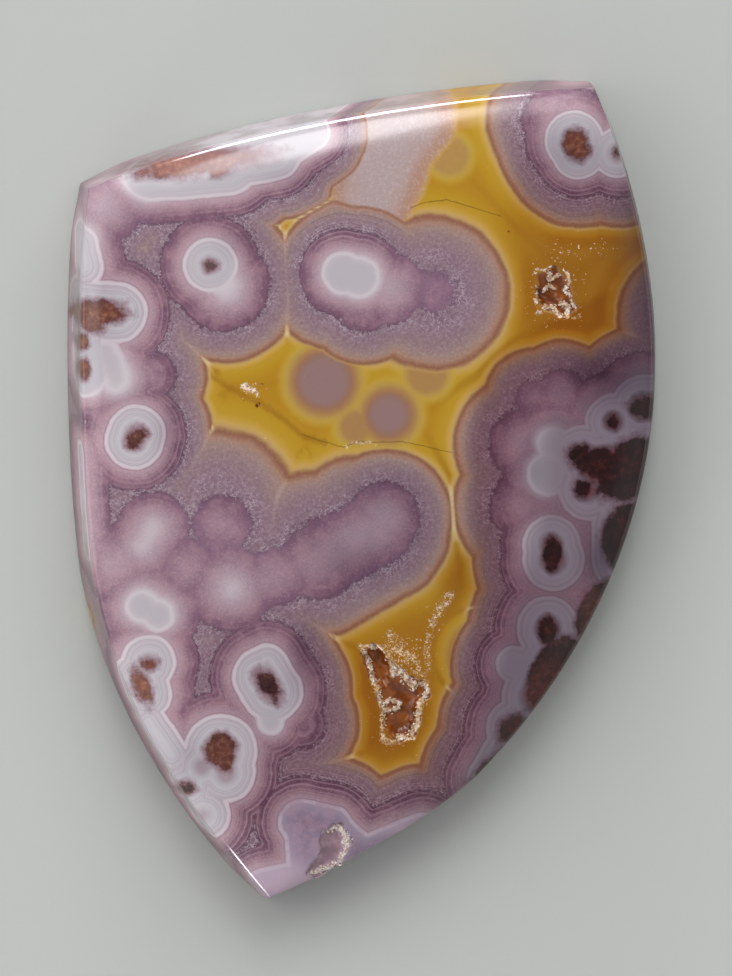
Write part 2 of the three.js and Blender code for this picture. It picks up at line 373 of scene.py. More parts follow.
SEEDS = [
    # The slab along the upper left
    tube(-10.1, 15.15, -6.6, 15.45, -0.6, 0, 0.96), tube(-6.6, 15.45, -4.4, 15.85, -0.55, 0, 0.8),
    tube(-4.4, 15.85, -2.7, 16.85, 0.1, 0.3, 0.75), spot(-12.2, 13.4, 1.2, 1.2),
    # The left edge
    tube(-13.5, 11.6, -13.3, 10.6, 0.3, 0.3), tube(-13.4, 8.6, -11.8, 8.5, -0.45),
    tube(-13.5, 7.6, -13.25, 5.6, -0.1), tube(-12.3, 6.6, -11.8, 5.4, 0.72, 0.9, 0.95),
    tube(-10.9, 2.85, -10.98, 2.55, -0.5, 0, 0.92), tube(-13.6, 2, -13.4, -3, 0.9, 0.3),
    # The two orbs above the star, and the buried one that joins the second
    spot(-7.45, 10.7, -0.3), spot(-6.85, 9.8, 0.85, 1.3, 1.05),
    spot(-1.25, 10.3, 0.26, 0.5, 0.9), spot(-0.5, 10.1, 0.33, 0.5, 0.98), spot(0.8, 9.6, 1.15, 1.2),
    spot(-0.3, 8.9, 1.5, 1.5, 0.95), spot(-2.0, 9.2, 1.85, 1.3), spot(2.95, 9.4, 1.9, 2.5, 1.35),
    # Buried eyes that only push the edge of the golden star
    spot(-9.6, 3.2, 1.9, 1.0), spot(-10.2, 5.6, 1.5, 1.0), spot(-2.6, -2.4, 1.75, 1.5, 1.5),
    # The buried eyes of the middle left and the corridor to the orb at the middle
    tube(-10.1, -1.5, -10.6, -2.3, 1.0, 1.0, 0.9), spot(-6.9, -1.4, 1.6, 1.2, 1.45),
    spot(-7.1, -0.5, 2.1, 2.0, 1.75), spot(-6.5, -4.4, 1.02, 1.0, 1.2),
    spot(-11.8, -3.2, 1.25, 1.2, 1.2), spot(-8.6, -3.4, 1.5, 1.2, 1.2),
    tube(-5.5, -4.2, -2.5, -3.2, 1.5, 1.0, 1.2), tube(-2.5, -3.2, 0.3, -1.6, 1.28, 1.0, 1.3),
    spot(0.65, -1.1, 1.25, 1.3, 1.05), spot(-0.7, -1.1, 2.03, 1.3, 1.5), spot(0.6, -1.9, 2.1, 1.3, 1.6),
    spot(-10.6, -5.2, 0.52, 0.5), spot(-9.9, -5.6, 0.52, 0.5),
    # The lower left
    spot(-10.3, -7.8, -0.3), tube(-10.7, -8.5, -10.45, -9.3, -0.25),
    tube(-10.3, -10.6, -9.2, -12.2, 0.3, 0.2), tube(-5.0, -8.5, -4.55, -9.2, -0.45),
    spot(-4.8, -7.9, 0.0), spot(-4.65, -10.6, 0.62, 0.4), spot(-3.2, -10.7, 1.6, 1.3),
    spot(-6.95, -11.95, -0.75),
    spot(-7.8, -12.7, -0.3), spot(-8.45, -13.7, -0.25), spot(-7.7, -15.0, 0.0, 0.3),
    spot(-6.7, -13.0, -0.4),
    # The bottom, round the pale hollow
    tube(-3.2, -15.3, -1.8, -15.6, 0.1, 0.2), tube(-1.8, -15.6, -0.5, -16.8, 0.2, 0.2),
    tube(-3.1, -15.4, -2.9, -17.0, 0.2, 0.2), tube(-4.8, -18.5, -2.0, -18.0, 0.2, 0.3),
    tube(0, -17, 2.5, -16, 0.2, 0.3),
    # The eye in the upper right corner, and one cut off by the edge below it
    spot(9.6, 16.4, -0.55), spot(9.8, 15.9, -0.45), spot(11.6, 15.8, -0.3), spot(8.9, 17.2, 0.9, 1.0, 1.1),
    spot(14.5, 8.3, 1.8, 1.5, 1.2),
    # The right side
    spot(9.0, 4.6, 1.5, 1.0, 0.98), spot(7.7, 4.4, 1.7, 1.0), spot(8.6, 2.3, 0.5, 0.5),
    spot(8.35, 0.9, 0.42, 0.7), spot(7.2, 2.3, 1.25, 1.0, 1.2), spot(7.3, -0.6, 1.25, 1.0, 1.25),
    spot(11.4, 3.3, -0.35),
    tube(12.8, 4.0, 13.5, 4.0, -0.5), spot(9.9, 1.8, -0.4), tube(10.7, 1.2, 13, 1.5, -0.8),
    spot(10.2, 0.1, -0.4), tube(12.2, -1.6, 12.2, -3, -0.8), spot(8.5, -2.4, -0.4), spot(8.6, -3.1, -0.5),
    spot(8.35, -6.3, -0.5), tube(8.6, -8.2, 8.0, -9.5, -0.8), spot(6.75, -8.0, 0.3, 0.3, 0.9),
    spot(6.9, -11.0, -0.45), tube(6.5, -12.2, 5.8, -13.4, -0.05, 0.2),
]
print(len(SEEDS), "seeds")

# %% [markdown]
# Each point belongs to its nearest seed, and that is what draws the sharp cusps where two eyes
# meet. The line where they met is a crease in the stone, so the distance to it is kept as well.

# %% Growth at a point
TUBE_LEAN = (0.35, 0.2)
FAR = 9.0


def from_seed(x, y, below, seed):
    """
    The growth that one seed gives, level + (distance - depth) / spread, and the unit vector away
    from it.
    """
    x1, y1, x2, y2, level, depth, spread = seed
    ax, ay = x2 - x1, y2 - y1
    long2 = ax * ax + ay * ay
    part = np.clip(((x - x1) * ax + (y - y1) * ay) / long2, 0, 1) if long2 else 0.0
    dx, dy = x - x1 - part * ax, y - y1 - part * ay
    flat = np.hypot(dx, dy)
    far = np.hypot(flat, np.maximum(depth - below, 0))
    safe = np.maximum(flat, 0.001)
    return level + (far - depth) / spread, dx / safe, dy / safe


def growth(points):
    """
    The smallest growth of all the seeds, and the distance to the crease, the line where fronts
    that grew against each other met. The tubes run on down through the stone and lean, so below
    the face the point is first moved back by the lean times its depth. The crease is half the
    difference between the growth and the smallest one of the seeds on the other side, which are
    those whose unit vector turns away from the nearest seed's.
    """
    below = np.maximum(face_height(points[:, :2]) - points[:, 2], 0)
    x, y = points[:, 0] - TUBE_LEAN[0] * below, points[:, 1] - TUBE_LEAN[1] * below
    least, ux, uy = from_seed(x, y, below, SEEDS[0])
    for seed in SEEDS[1:]:
        value, vx, vy = from_seed(x, y, below, seed)
        nearer = value < least
        least, ux, uy = np.where(nearer, value, least), np.where(nearer, vx, ux), np.where(nearer, vy, uy)
    crease = np.full(len(points), FAR)
    for seed in SEEDS:
        value, vx, vy = from_seed(x, y, below, seed)
        same_side = np.maximum(ux * vx + uy * vy + 0.1, 0)
        crease = np.minimum(crease, (value - least) / 2 + same_side)
    return least, crease


print("tubes lean by", TUBE_LEAN, "mm for each mm of depth")

# %% [markdown]
# A number on every vertex is called an attribute, and a material can read it. Most of the
# numbers below are sums of soft spots, because the real places have soft borders too.

# %% Numbers on the vertices
def add_attribute(piece, name, values):
    """One number for each vertex, which a material reads with an Attribute node."""
    attribute = piece.data.attributes.new(name, "FLOAT", "POINT")
    attribute.data.foreach_set("value", values.astype(np.float32))


def smooth_step(low, high, values):
    """0 below low, 1 above high, and t * t * (3 - 2t) between."""
    t = np.clip((values - low) / (high - low), 0, 1)
    return t * t * (3 - 2 * t)


def spots(places):
    """Sum of soft spots, each strength times exp(-(dx / rx)^2 - (dy / ry)^2)."""
    total = np.zeros(len(vertices))
    for x, y, rx, ry, strength in places:
        total += strength * np.exp(-(((x_mm - x) / rx) ** 2) - ((y_mm - y) / ry) ** 2)
    return total


x_mm, y_mm = vertices[:, 0], vertices[:, 1]
print("box of the stone in mm:", vertices.min(axis=0).round(2), vertices.max(axis=0).round(2))

# %% [markdown]
# The growth gets small changes: nooks that a layer reached sooner or later, one eye with narrower
# layers, and beside the lower hollow the front of a buried eye, which left a crease of its own.

# %% Growth of the stone
# Place, radii and added growth
NOOKS = [(-3.97, 12.6, 0.35, 0.35, 0.03), (-3.0, 13.1, 0.5, 0.3, -0.08), (-2.0, 13.7, 0.9, 0.45, -0.3)]
NARROW_EYE = [(9.6, 15.2, 3.8, 3.6, 0.42)]
grown, crease = growth(vertices)
grown += spots(NOOKS)
grown += spots(NARROW_EYE) * smooth_step(0.3, 1.6, grown)
# Middle and radius of the buried eye's front
BURIED_FRONT = (5.17, -7.48, 2.2)
beyond_front = np.hypot(x_mm - BURIED_FRONT[0], y_mm - BURIED_FRONT[1]) - BURIED_FRONT[2]
crease = np.minimum(crease, abs(beyond_front))
add_attribute(stone, "growth", grown)
add_attribute(stone, "crease", crease)
print("growth from", grown.min().round(2), "to", grown.max().round(2), "mm")

# %% [markdown]
# The brown cores are the oldest layer, iron-stained and ragged, and they don't follow the later
# rings closely. So they are ovals of their own, and the number kept is how far outside the
# nearest oval a point lies. The discs are buried eyes that show through the golden fill.

# %% Cores and discs
def oval_gap(points, ovals):
    """For the nearest oval: (distance in units of its half axes - 1) times its smaller half axis."""
    gap = np.full(len(points), FAR)
    for x, y, half_long, half_wide, turn in ovals:
        c, s = math.cos(math.radians(turn)), math.sin(math.radians(turn))
        dx, dy = points[:, 0] - x, points[:, 1] - y
        far = np.hypot((dx * c + dy * s) / half_long, (dy * c - dx * s) / half_wide)
        gap = np.minimum(gap, (far - 1) * half_wide)
    return gap


CORES = [
    (-7.9, 15.45, 2.75, 0.45, 7), (-9.2, 15.1, 1.1, 0.33, 0), (-7.1, 15.25, 0.5, 0.4, 0),
    (-12.6, 8.5, 1.15, 0.55, 0), (-12.9, 8.0, 0.5, 0.4, 0), (-13.3, 7.15, 0.24, 0.36, 0),
    (-13.25, 5.85, 0.24, 0.45, 0), (-10.9, 2.65, 0.5, 0.36, 50), (-7.46, 10.67, 0.24, 0.22, 0),
    (-10.25, -7.9, 0.32, 0.28, 0), (-10.6, -8.95, 0.75, 0.33, -70), (-4.75, -8.9, 0.75, 0.42, -55),
    (-6.95, -11.9, 0.68, 0.78, 0), (-6.75, -12.5, 0.36, 0.4, 0), (-8.5, -13.7, 0.3, 0.25, 0),
    (9.62, 16.3, 0.62, 0.52, 80), (9.9, 15.9, 0.4, 0.35, 0), (11.65, 15.85, 0.16, 0.22, 0),
    (11.37, 3.3, 0.26, 0.3, 0), (13.0, 3.95, 0.75, 0.5, 0), (9.85, 1.75, 0.55, 0.5, 0),
    (10.9, 1.35, 1.3, 0.7, -8), (12.7, 1.3, 1.5, 1.25, 0), (10.0, 0.2, 0.42, 0.4, 0),
    (11.9, 0.2, 1.2, 0.6, 0), (12.6, -2.2, 1.7, 1.75, 0), (8.55, -2.85, 0.42, 0.8, 0),
    (10.9, -5.5, 1.0, 1.6, -33), (8.35, -6.4, 0.42, 0.65, 0), (8.7, -8.5, 1.15, 1.9, -25),
    (6.75, -11.05, 0.75, 0.6, 40), (5.45, -12.9, 0.7, 0.15, 50),
]
# Place, radius and how far inside its edge each disc still changes colour, less for a faint one
DISCS = [
    (-2.16, 5.28, 1.42, 0.5), (0.87, 3.71, 1.12, 0.5), (-0.68, 3.16, 0.5, -0.08),
    (2.66, 5.6, 0.7, -0.12), (3.73, 15.75, 0.6, -0.2), (5.17, -7.48, 1.25, -0.1),
]
disc_gaps = [
    np.maximum(np.hypot(vertices[:, 0] - x, vertices[:, 1] - y) - radius, -within)
    for x, y, radius, within in DISCS
]
add_attribute(stone, "core", oval_gap(vertices, CORES))
add_attribute(stone, "disc", np.min(disc_gaps, axis=0))
print(len(CORES), "ovals of core and", len(DISCS), "discs")

# %% [markdown]
# Milky quartz lies like lace round the rims of the hollows and in veins across them. Each vein
# is a path, given by a few places on the face, with its width. The number kept is 1 in the
# middle of a vein and falls to 0 at its width. Two knots of it lie in the golden star, and above
# the lower hollow it comes as loose threads, so there the number is halved.

# %% Veins of milky quartz
VEINS = {
    "crystals_lower_hollow": [
        ([(-0.45, -7.1), (-0.05, -7.75), (0.15, -8.7), (0.42, -9.4), (0.62, -10.1), (0.6, -11.45)], 0.19),
        ([(-0.45, -7.1), (0.3, -7.1), (1.4, -7.3)], 0.19), ([(0.85, -7.5), (1.05, -8.0), (1.1, -8.5)], 0.17),
        ([(1.2, -8.1), (1.7, -8.6), (2.1, -8.95)], 0.26),
        ([(2.1, -8.95), (2.55, -8.75), (2.72, -9.15), (2.4, -9.7)], 0.16),
        ([(2.4, -9.7), (2.3, -10.2), (2.25, -10.7), (2.0, -11.3)], 0.22),
        ([(0.6, -11.5), (1.1, -11.6), (1.5, -11.35), (2.0, -11.4)], 0.22),
        ([(0.65, -9.85), (1.0, -9.6), (1.45, -9.8), (1.3, -10.05), (0.75, -10.1)], 0.13),
    ],
    "crystals_upper_hollow": [
        (
            [(7.83, 8.38), (8.25, 8.71), (8.62, 8.62), (8.85, 8.24), (9.23, 8.24), (9.27, 8.71), (8.95, 8.9)],
            0.17,
        ),
        ([(7.69, 10.15), (7.83, 10.45), (8.25, 10.39), (8.43, 10.6)], 0.12),
        ([(9.1, 10.4), (9.23, 10.29), (9.37, 9.83), (9.13, 9.45), (9.37, 9.18)], 0.12),
        ([(9.41, 8.99), (9.69, 8.57), (9.79, 8.24), (9.46, 8.15)], 0.09),
        ([(7.83, 9.69), (7.74, 8.99), (7.92, 8.57)], 0.08), ([(8.16, 9.45), (8.39, 9.69), (8.71, 9.5)], 0.1),
        ([(8.43, 10.3), (8.4, 9.9), (8.9, 10.2)], 0.09),
    ],
    "crystals_tip_hollow": [
        ([(-2.6, -16.3), (-2.3, -15.8), (-1.9, -15.55), (-1.4, -15.55), (-1.1, -15.9)], 0.18),
        ([(-1.1, -15.9), (-1.0, -16.4), (-1.15, -16.9), (-1.4, -17.3)], 0.24),
        ([(-2.6, -16.3), (-2.4, -16.7)], 0.14),
        ([(-1.4, -17.3), (-1.9, -17.5), (-2.6, -17.7)], 0.22),
    ],
}
LOOSE_VEINS = [
    ([(3.7, -4.7), (3.3, -5.4)], 0.45), ([(3.3, -5.4), (2.85, -6.2), (2.65, -7.2), (2.75, -8.2)], 0.3),
    ([(0.9, -6.6), (1.9, -7.6), (2.5, -8.6)], 0.5),
]
KNOTS = [
    ([(-5.9, 5.1), (-5.6, 4.95), (-5.3, 4.7)], 0.24),
    ([(-1.15, 2.24), (-0.85, 2.38), (-0.3, 2.42), (0.2, 2.36)], 0.1),
]


def vein_closeness(points, veins):
    """The largest, over the veins, of 1 - distance / width, and 0 outside them all."""
    close = [1 - distance_to_line(points, np.array(path)) / width for path, width in veins]
    return np.maximum(np.max(close, axis=0), 0)


ALL_VEINS = [vein for veins in VEINS.values() for vein in veins] + KNOTS
LOOSE = 0.5
laced = vein_closeness(vertices[:, :2], ALL_VEINS)
laced = np.maximum(laced, LOOSE * vein_closeness(vertices[:, :2], LOOSE_VEINS))
add_attribute(stone, "lace", laced)
print(len(ALL_VEINS) + len(LOOSE_VEINS), "veins cover", int((laced > 0).sum()), "vertices")

# %% [markdown]
# A few more numbers go with the growth. Each is a mask from 0 to 1, most made of soft spots. The
# first say where the layers are plum red, where the dark mass behind them smokes the white ones,
# where the stone is darker, partly in its own colour and partly as painted shade, and where the
# fill is amber. Along the bottom the plum and the smoke are partly painted shade as well, darker
# towards the bottom.

# %% Masks of colour
on_face = np.arange(len(vertices)) < len(face)
PLUM_LINE = [
    (-20, -1.0), (-13, 1.5), (-9, 3.6), (-6, 4.4), (-2, 4.4), (2, 4.2), (5, 4.7), (6.5, 5.6),
    (8, 8.0), (9.5, 11.0), (12, 12.5), (20, 14.0),
]
# The plum lies right of that line, in the upper right corner and along the bottom, where it is
# partly painted shade, darker towards the bottom
line_y, line_x = np.array(PLUM_LINE).T
right_of_line = x_mm - np.interp(y_mm, line_y, line_x)
corner = smooth_step(5.5, 7.5, x_mm) * smooth_step(11.0, 13.0, y_mm) * smooth_step(18.5, 13.5, y_mm)
# Along the bottom: partly painted shade, darker towards the bottom
low = smooth_step(-4.0, -8.0, y_mm) * smooth_step(-9.0, -4.5, x_mm) * smooth_step(-17.5, -14.5, y_mm)
plum_and_shade = np.maximum.reduce([smooth_step(-0.4, 0.9, right_of_line), 0.75 * corner, 0.7 * low])
in_smoke = smooth_step(0.0, 2.5, x_mm - 6.5 - 0.3 * np.minimum(y_mm, 0)) * smooth_step(10.0, 7.0, y_mm)
# At the bottom the smoke is partly painted shade too
smoke_and_shade = np.maximum.reduce([in_smoke, 0.5 * corner, 0.25 * low])
# Darker spots: partly the stone's own darker colour, partly painted shade
darker_stone_and_shade = spots([
    (13.6, 10.5, 2.2, 4.5, 0.9), (13.4, 5.5, 2.2, 3.0, 0.4), (9.4, 16.0, 1.4, 1.2, 0.45),
    (10.6, 5.5, 1.8, 1.2, 0.85), (1.0, -2.8, 4.5, 2.3, 0.35), (0.9, -0.2, 2.2, 1.6, 0.4),
    (-1.3, -3.1, 1.8, 1.0, 0.4), (-12.8, 8.6, 1.2, 2.2, 0.35), (12.7, 13.2, 1.2, 1.6, 0.35),
    (-8.4, -12.4, 1.0, 1.3, 0.35), (6.8, -8.0, 2.8, 4.0, 0.35), (10.8, -3.1, 0.8, 1.3, 0.9),
    (7.5, 1.1, 0.7, 1.5, 0.6), (-9.3, 2.9, 0.7, 1.7, 0.5), (-3.1, -8.0, 0.8, 1.8, 0.55),
    (-6.0, 11.8, 1.0, 0.8, 0.35), (-3.4, 14.7, 1.9, 0.6, 0.35),
])
amber = spots([
    (9.3, 9.1, 4.5, 3.0, 1.2), (11.0, 11.8, 2.5, 2.5, 1.0), (0.6, -10.8, 2.4, 1.9, 1.2),
    (-0.4, -8.6, 1.0, 1.6, 0.9), (1.6, -9.2, 1.4, 1.6, 0.5), (4.0, -3.6, 1.1, 2.0, 0.95),
    (2.0, -6.2, 2.0, 1.3, 0.5),
])
# The buried eye beside the lower hollow keeps its fill golden
amber *= smooth_step(-0.1, 0.1, beyond_front)
print("the dark mass smokes", int((in_smoke > 0.5).sum()), "vertices")

# %% [markdown]
# The next masks are of detail: where the layers are drawn sharply as fine lines, where they lie
# buried and soft (a little all over the smoky part), where a milky film covers a core, or lightens
# the lilac near the tip and the bottom, partly as painted light glowing through the thin edge,
# where specks of white flakes and painted glints lie, and where the cores are rusty.

# %% Masks of detail
lines = spots([
    (-4.75, -8.9, 3.0, 3.0, 1.0), (-2.0, -14.0, 5.5, 2.0, 1.0), (-6.5, -15.5, 2.5, 2.5, 0.7),
    (4.5, -10.5, 3.5, 4.0, 0.9), (-10.2, 2.4, 2.6, 2.6, 0.9), (-11.5, 8.5, 2.6, 2.2, 0.8),
    (-4.0, 15.0, 4.5, 2.6, 1.0), (9.7, 14.0, 3.8, 3.0, 0.9), (-1.0, 12.3, 3.0, 1.2, 0.9),
    (7.0, -6.0, 2.6, 4.0, 0.8),
])
soft = spots([
    (-9.5, -2.6, 2.6, 2.2, 1.6), (-6.0, -3.5, 2.5, 2.2, 1.6), (-11.8, 5.6, 1.6, 1.1, 1.4),
    (-12.0, 13.5, 1.8, 1.8, 1.3), (8.3, 1.4, 1.1, 2.2, 1.3), (8.3, 4.6, 1.6, 1.4, 1.5),
    (0.0, -1.6, 2.0, 1.6, 1.3), (2.9, 9.5, 2.0, 2.0, 1.3), (-6.4, 9.4, 0.9, 0.9, 1.4),
    (-0.8, 10.2, 1.6, 1.3, 1.6), (-10.3, -5.4, 1.3, 1.0, 1.4), (-4.65, -10.7, 0.7, 0.6, 1.4),
    (-8.2, 15.1, 3.8, 1.4, 0.85), (-11.5, 14.6, 1.5, 1.0, 0.8), (-12.6, 5.9, 1.0, 1.2, 1.2),
    (-7.45, 10.7, 1.4, 1.4, 0.45), (10.0, 16.0, 2.0, 1.3, 0.4), (-3.2, 16.5, 1.5, 0.9, 1.2),
    (6.75, -8.0, 0.9, 0.9, 1.0),
])
soft = np.maximum(soft, 0.22 * in_smoke)
film_and_glow = spots([
    (-6.0, 15.7, 2.2, 0.8, 0.5), (-9.0, 15.2, 1.5, 0.8, 0.2), (-7.46, 10.67, 0.5, 0.5, 0.3),
    # These two spots at the tip and the bottom are partly painted light: lighter lilac where light glows
    # through the thin edge
    (-4.0, -17.9, 1.6, 1.0, 0.8), (1.5, -15.6, 1.6, 0.6, 0.6),
])
# White flakes in the star, and round the hollows painted glints: light specks where the fill sparkles
flakes_and_glints = spots([
    (-5.7, 4.9, 0.4, 0.22, 1.0), (-5.4, 4.8, 1.1, 0.8, 0.35), (-3.4, 3.2, 0.9, 0.5, 0.2),
    (8.7, 9.3, 1.8, 2.0, 0.6), (11.3, 11.4, 1.5, 0.5, 0.35), (9.5, 11.5, 1.6, 0.6, 0.3),
    (1.7, -7.3, 1.2, 1.0, 0.6), (3.1, -5.7, 0.6, 1.1, 0.6), (1.3, -9.6, 1.9, 2.6, 0.5),
    (-5.7, -16.4, 0.5, 0.9, 0.25),
])
rust = spots([
    (-8.0, 15.4, 3.5, 1.5, 1.2), (-12.6, 8.5, 1.5, 1.0, 0.7), (-10.5, -8.6, 1.0, 1.5, 0.9),
    (9.7, 16.2, 1.2, 1.2, 0.8), (8.0, -10.4, 2.4, 3.0, 0.42), (-6.95, -12.0, 1.2, 1.2, 0.45),
    (-11.0, 2.7, 0.6, 0.6, 0.3), (-13.3, 6.4, 0.6, 1.6, 0.7), (10.9, -5.5, 1.5, 1.5, 0.3),
])
print("spots of fine lines cover", int((lines > 0.5).sum()), "vertices")

# %% [markdown]
# The last ones say where the last fill is lilac, how deep a hollow is, and where the ground wall
# begins. The pale number is no mask: it is how many mm a point lies inside the border of the
# pale patch at the top.

# %% Masks of place
# Below a sloping line at the bottom, and right of a line at the tip
lilac = smooth_step(-12.4, -13.2, y_mm + 0.32 * (x_mm + 3))
lilac *= smooth_step(-5.0, -4.6, x_mm + 0.55 * np.maximum(-15.5 - y_mm, 0))
PALE_EDGE = [
    (1.7, 12.6), (1.91, 13.04), (2.47, 14.16), (2.84, 15.28), (3.96, 16.68), (4.05, 18.08), (4.1, 19.5),
]
pale_x, pale_y = np.array(PALE_EDGE).T
inside_pale = np.minimum(np.interp(y_mm, pale_y, pale_x) - x_mm, x_mm + 1.9)
deep = hollow_depth(vertices[:, :2], ALL_LOBES) * on_face
down_wall = smooth_step(0.05, 0.2, WALL_HEIGHT - vertices[:, 2]) * ~on_face
MASKS = {
    "plum_and_shade": plum_and_shade, "smoke_and_shade": smoke_and_shade, "amber": amber, "lines": lines, "soft": soft, "flakes_and_glints": flakes_and_glints,
    "rust": rust, "lilac": lilac, "deep": deep, "wall": down_wall, "darker_stone_and_shade": darker_stone_and_shade, "film_and_glow": film_and_glow,
}
for name, values in MASKS.items():
    add_attribute(stone, name, np.clip(values, 0, 1))
add_attribute(stone, "pale", np.where(y_mm > 12, inside_pale, -FAR))
print(len(MASKS), "masks; the hollows are up to", deep.max().round(2), "mm deep")

# %% [markdown]
# Old cracks cross the golden fill and healed as thin dark threads. Each is a curve, and the
# number kept is the height above it, which passes smoothly through zero, so that the material
# can draw a thread much thinner than the spacing of the vertices. Of one crack only a brown
# stain is left. Tiny dark pits and grains of ore are kept as the distance outside their rims.

# %% Cracks
CRACKS = [
    [
        (-3.3, 2.85), (-2.39, 2.54), (-1.23, 2.2), (-0.53, 2.5), (0.09, 2.43), (1.49, 2.46), (2.56, 2.23),
        (3.9, 1.9),
    ],
    [(1.8, 13.3), (2.6, 13.6), (3.6, 13.7), (4.8, 13.35), (6.2, 12.9)],
]
STAINS = [[(-7.5, 5.6), (-6.6, 5.0), (-5.0, 4.2), (-4.0, 3.5), (-3.1, 2.7), (-2.0, 2.4)]]


def above_curves(points, curves):
    """Height above the nearest curve, or FAR beside its ends."""
    height = np.full(len(points), FAR)
    for curve in curves:
        x, y = np.array(curve).T
        gap = points[:, 1] - np.interp(points[:, 0], x, y)
        on_it = (points[:, 0] > x[0]) & (points[:, 0] < x[-1]) & (abs(gap) < 2)
        height = np.where(on_it, gap, height)
    return height


# Place and radius
PITS = [
    (-5.3, 4.15, 0.1), (-5.2, 4.25, 0.08), (-5.05, 5.15, 0.08), (6.5, 12.2, 0.08), (12.0, 11.55, 0.07),
    (11.6, 11.3, 0.06), (-5.9, 4.4, 0.05),
]
pit_gaps = [np.hypot(x_mm - x, y_mm - y) - radius for x, y, radius in PITS]
add_attribute(stone, "crack", above_curves(vertices, CRACKS))
add_attribute(stone, "stain", above_curves(vertices, STAINS))
add_attribute(stone, "pit", np.min(pit_gaps, axis=0))
print(len(CRACKS), "cracks,", len(STAINS), "stain and", len(PITS), "pits")

# %% [markdown]
# A material is a small network of nodes. One function adds a node with its settings and links,
# and one turns the hex colours that people read into the linear light that Blender wants.

# %% Node helper
def linear(colour):
    """sRGB hex to linear: c / 12.92 below 0.04045, else ((c + 0.055) / 1.055) ^ 2.4."""
    parts = np.array([int(colour[k : k + 2], 16) for k in (1, 3, 5)]) / 255
    light = np.where(parts <= 0.04045, parts / 12.92, ((parts + 0.055) / 1.055) ** 2.4)
    return (*light.tolist(), 1.0)


def add(tree, kind, *values, out=None, stops=(), **settings):
    """
    Adds a node and returns its first output, or the one that out names. Settings are the node's
    own properties. Values go in order to the inputs that those settings leave in use: a socket
    is linked, and a number, a vector or a hex colour is set. Stops are a ramp's places, with a
    colour or a grey number for each.
    """
    made = tree.nodes.new("ShaderNode" + kind)
    for name, value in settings.items():
        setattr(made, name, value)
    for socket, value in zip([socket for socket in made.inputs if socket.enabled], values):
        if isinstance(value, bpy.types.NodeSocket):
            tree.links.new(value, socket)
        else:
            socket.default_value = linear(value) if isinstance(value, str) else value
    for k, (position, colour) in enumerate(stops):
        element = made.color_ramp.elements[k] if k < 2 else made.color_ramp.elements.new(1.0)
        element.position = position
        element.color = linear(colour) if isinstance(colour, str) else (colour, colour, colour, 1)
    return made.outputs[out] if out else next(socket for socket in made.outputs if socket.enabled)


TIMES = {"operation": "MULTIPLY"}
TIMES_PLUS = {"operation": "MULTIPLY_ADD"}
LESS = {"operation": "SUBTRACT"}
SIZE_OF = {"operation": "ABSOLUTE"}
STEP = {"interpolation_type": "SMOOTHSTEP"}
OVER = {"data_type": "RGBA"}
DARKEN = {"data_type": "RGBA", "blend_type": "MULTIPLY"}


def new_material(name):
    """An empty material, its node tree, its surface shader and its coordinates in mm."""
    material = bpy.data.materials.new(name)
    material.use_nodes = True
    tree = material.node_tree
    place = add(tree, "TexCoord", out="Object")
    in_mm = add(tree, "VectorMath", place, 1 / MM, operation="SCALE")
    return material, tree, tree.nodes["Principled BSDF"], in_mm


print("pale grey #C0BBC1 is", [round(v, 3) for v in linear("#C0BBC1")], "in linear light")

# %% [markdown]
# Agate is chalcedony, a quartz of crystals too small to see, milky or clear by the layer. The
# colours of its layers are the stops of one ramp over the growth, from just inside a core to 6 mm
# outside it. A ramp takes 32 stops at most. The pairs of stops close together are single layers
# about 0.05 mm thick, which every eye shows again. Where an eye is buried under clear stone the
# same layers look blurred, so they have a softer ramp. Two noises, 0.9 and 3.5 waves to the mm,
# sway the growth a little, because no real layer is perfectly even.

# %% Colours of the layers
RAMP_START, RAMP_END = -0.5, 6.0
LAYERS = [
    (-0.10, "#A5959C"), (0.14, "#B6AFB4"), (0.34, "#C0BBC1"), (0.42, "#B7B0B7"),
    (0.47, "#BEB9BF"), (0.54, "#B0A8AF"), (0.60, "#BEB6BC"), (0.72, "#BBB1B8"), (0.77, "#ADA2AA"),
    (0.83, "#C6BCC1"), (0.91, "#D0C6CB"), (0.97, "#C2AFB7"), (1.02, "#A28893"), (1.10, "#AC919B"),
    (1.35, "#9F808B"), (1.60, "#866475"), (1.85, "#735065"), (2.03, "#604255"), (2.09, "#826976"),
    (2.35, "#886D79"), (2.70, "#8E7579"), (2.95, "#9B8179"), (3.10, "#A27D6A"), (3.18, "#956B56"),
    (3.25, "#8A5C46"), (3.31, "#9A7350"), (3.38, "#B8955F"), (3.46, "#C09C54"), (3.56, "#BD963C"),
    (3.66, "#B68F2B"), (3.85, "#B48D24"), (4.30, "#AE801E"),
]
SOFT_LAYERS = [
    (0.0, "#B4AFB5"), (0.62, "#B5AFB5"), (0.74, "#BAB2B7"), (0.86, "#C8C0C5"), (1.0, "#BCADB5"),
    (1.2, "#AA959F"), (1.5, "#997D8A"), (1.8, "#88687A"), (2.05, "#7B5C73"),
]


def by_growth(tree, value, stops):
    """A colour or a number that the growth picks from stops in mm."""
    place = add(tree, "MapRange", value, RAMP_START, RAMP_END)
    along = [((mm - RAMP_START) / (RAMP_END - RAMP_START), colour) for mm, colour in stops]
    return add(tree, "ValToRGB", place, stops=along)


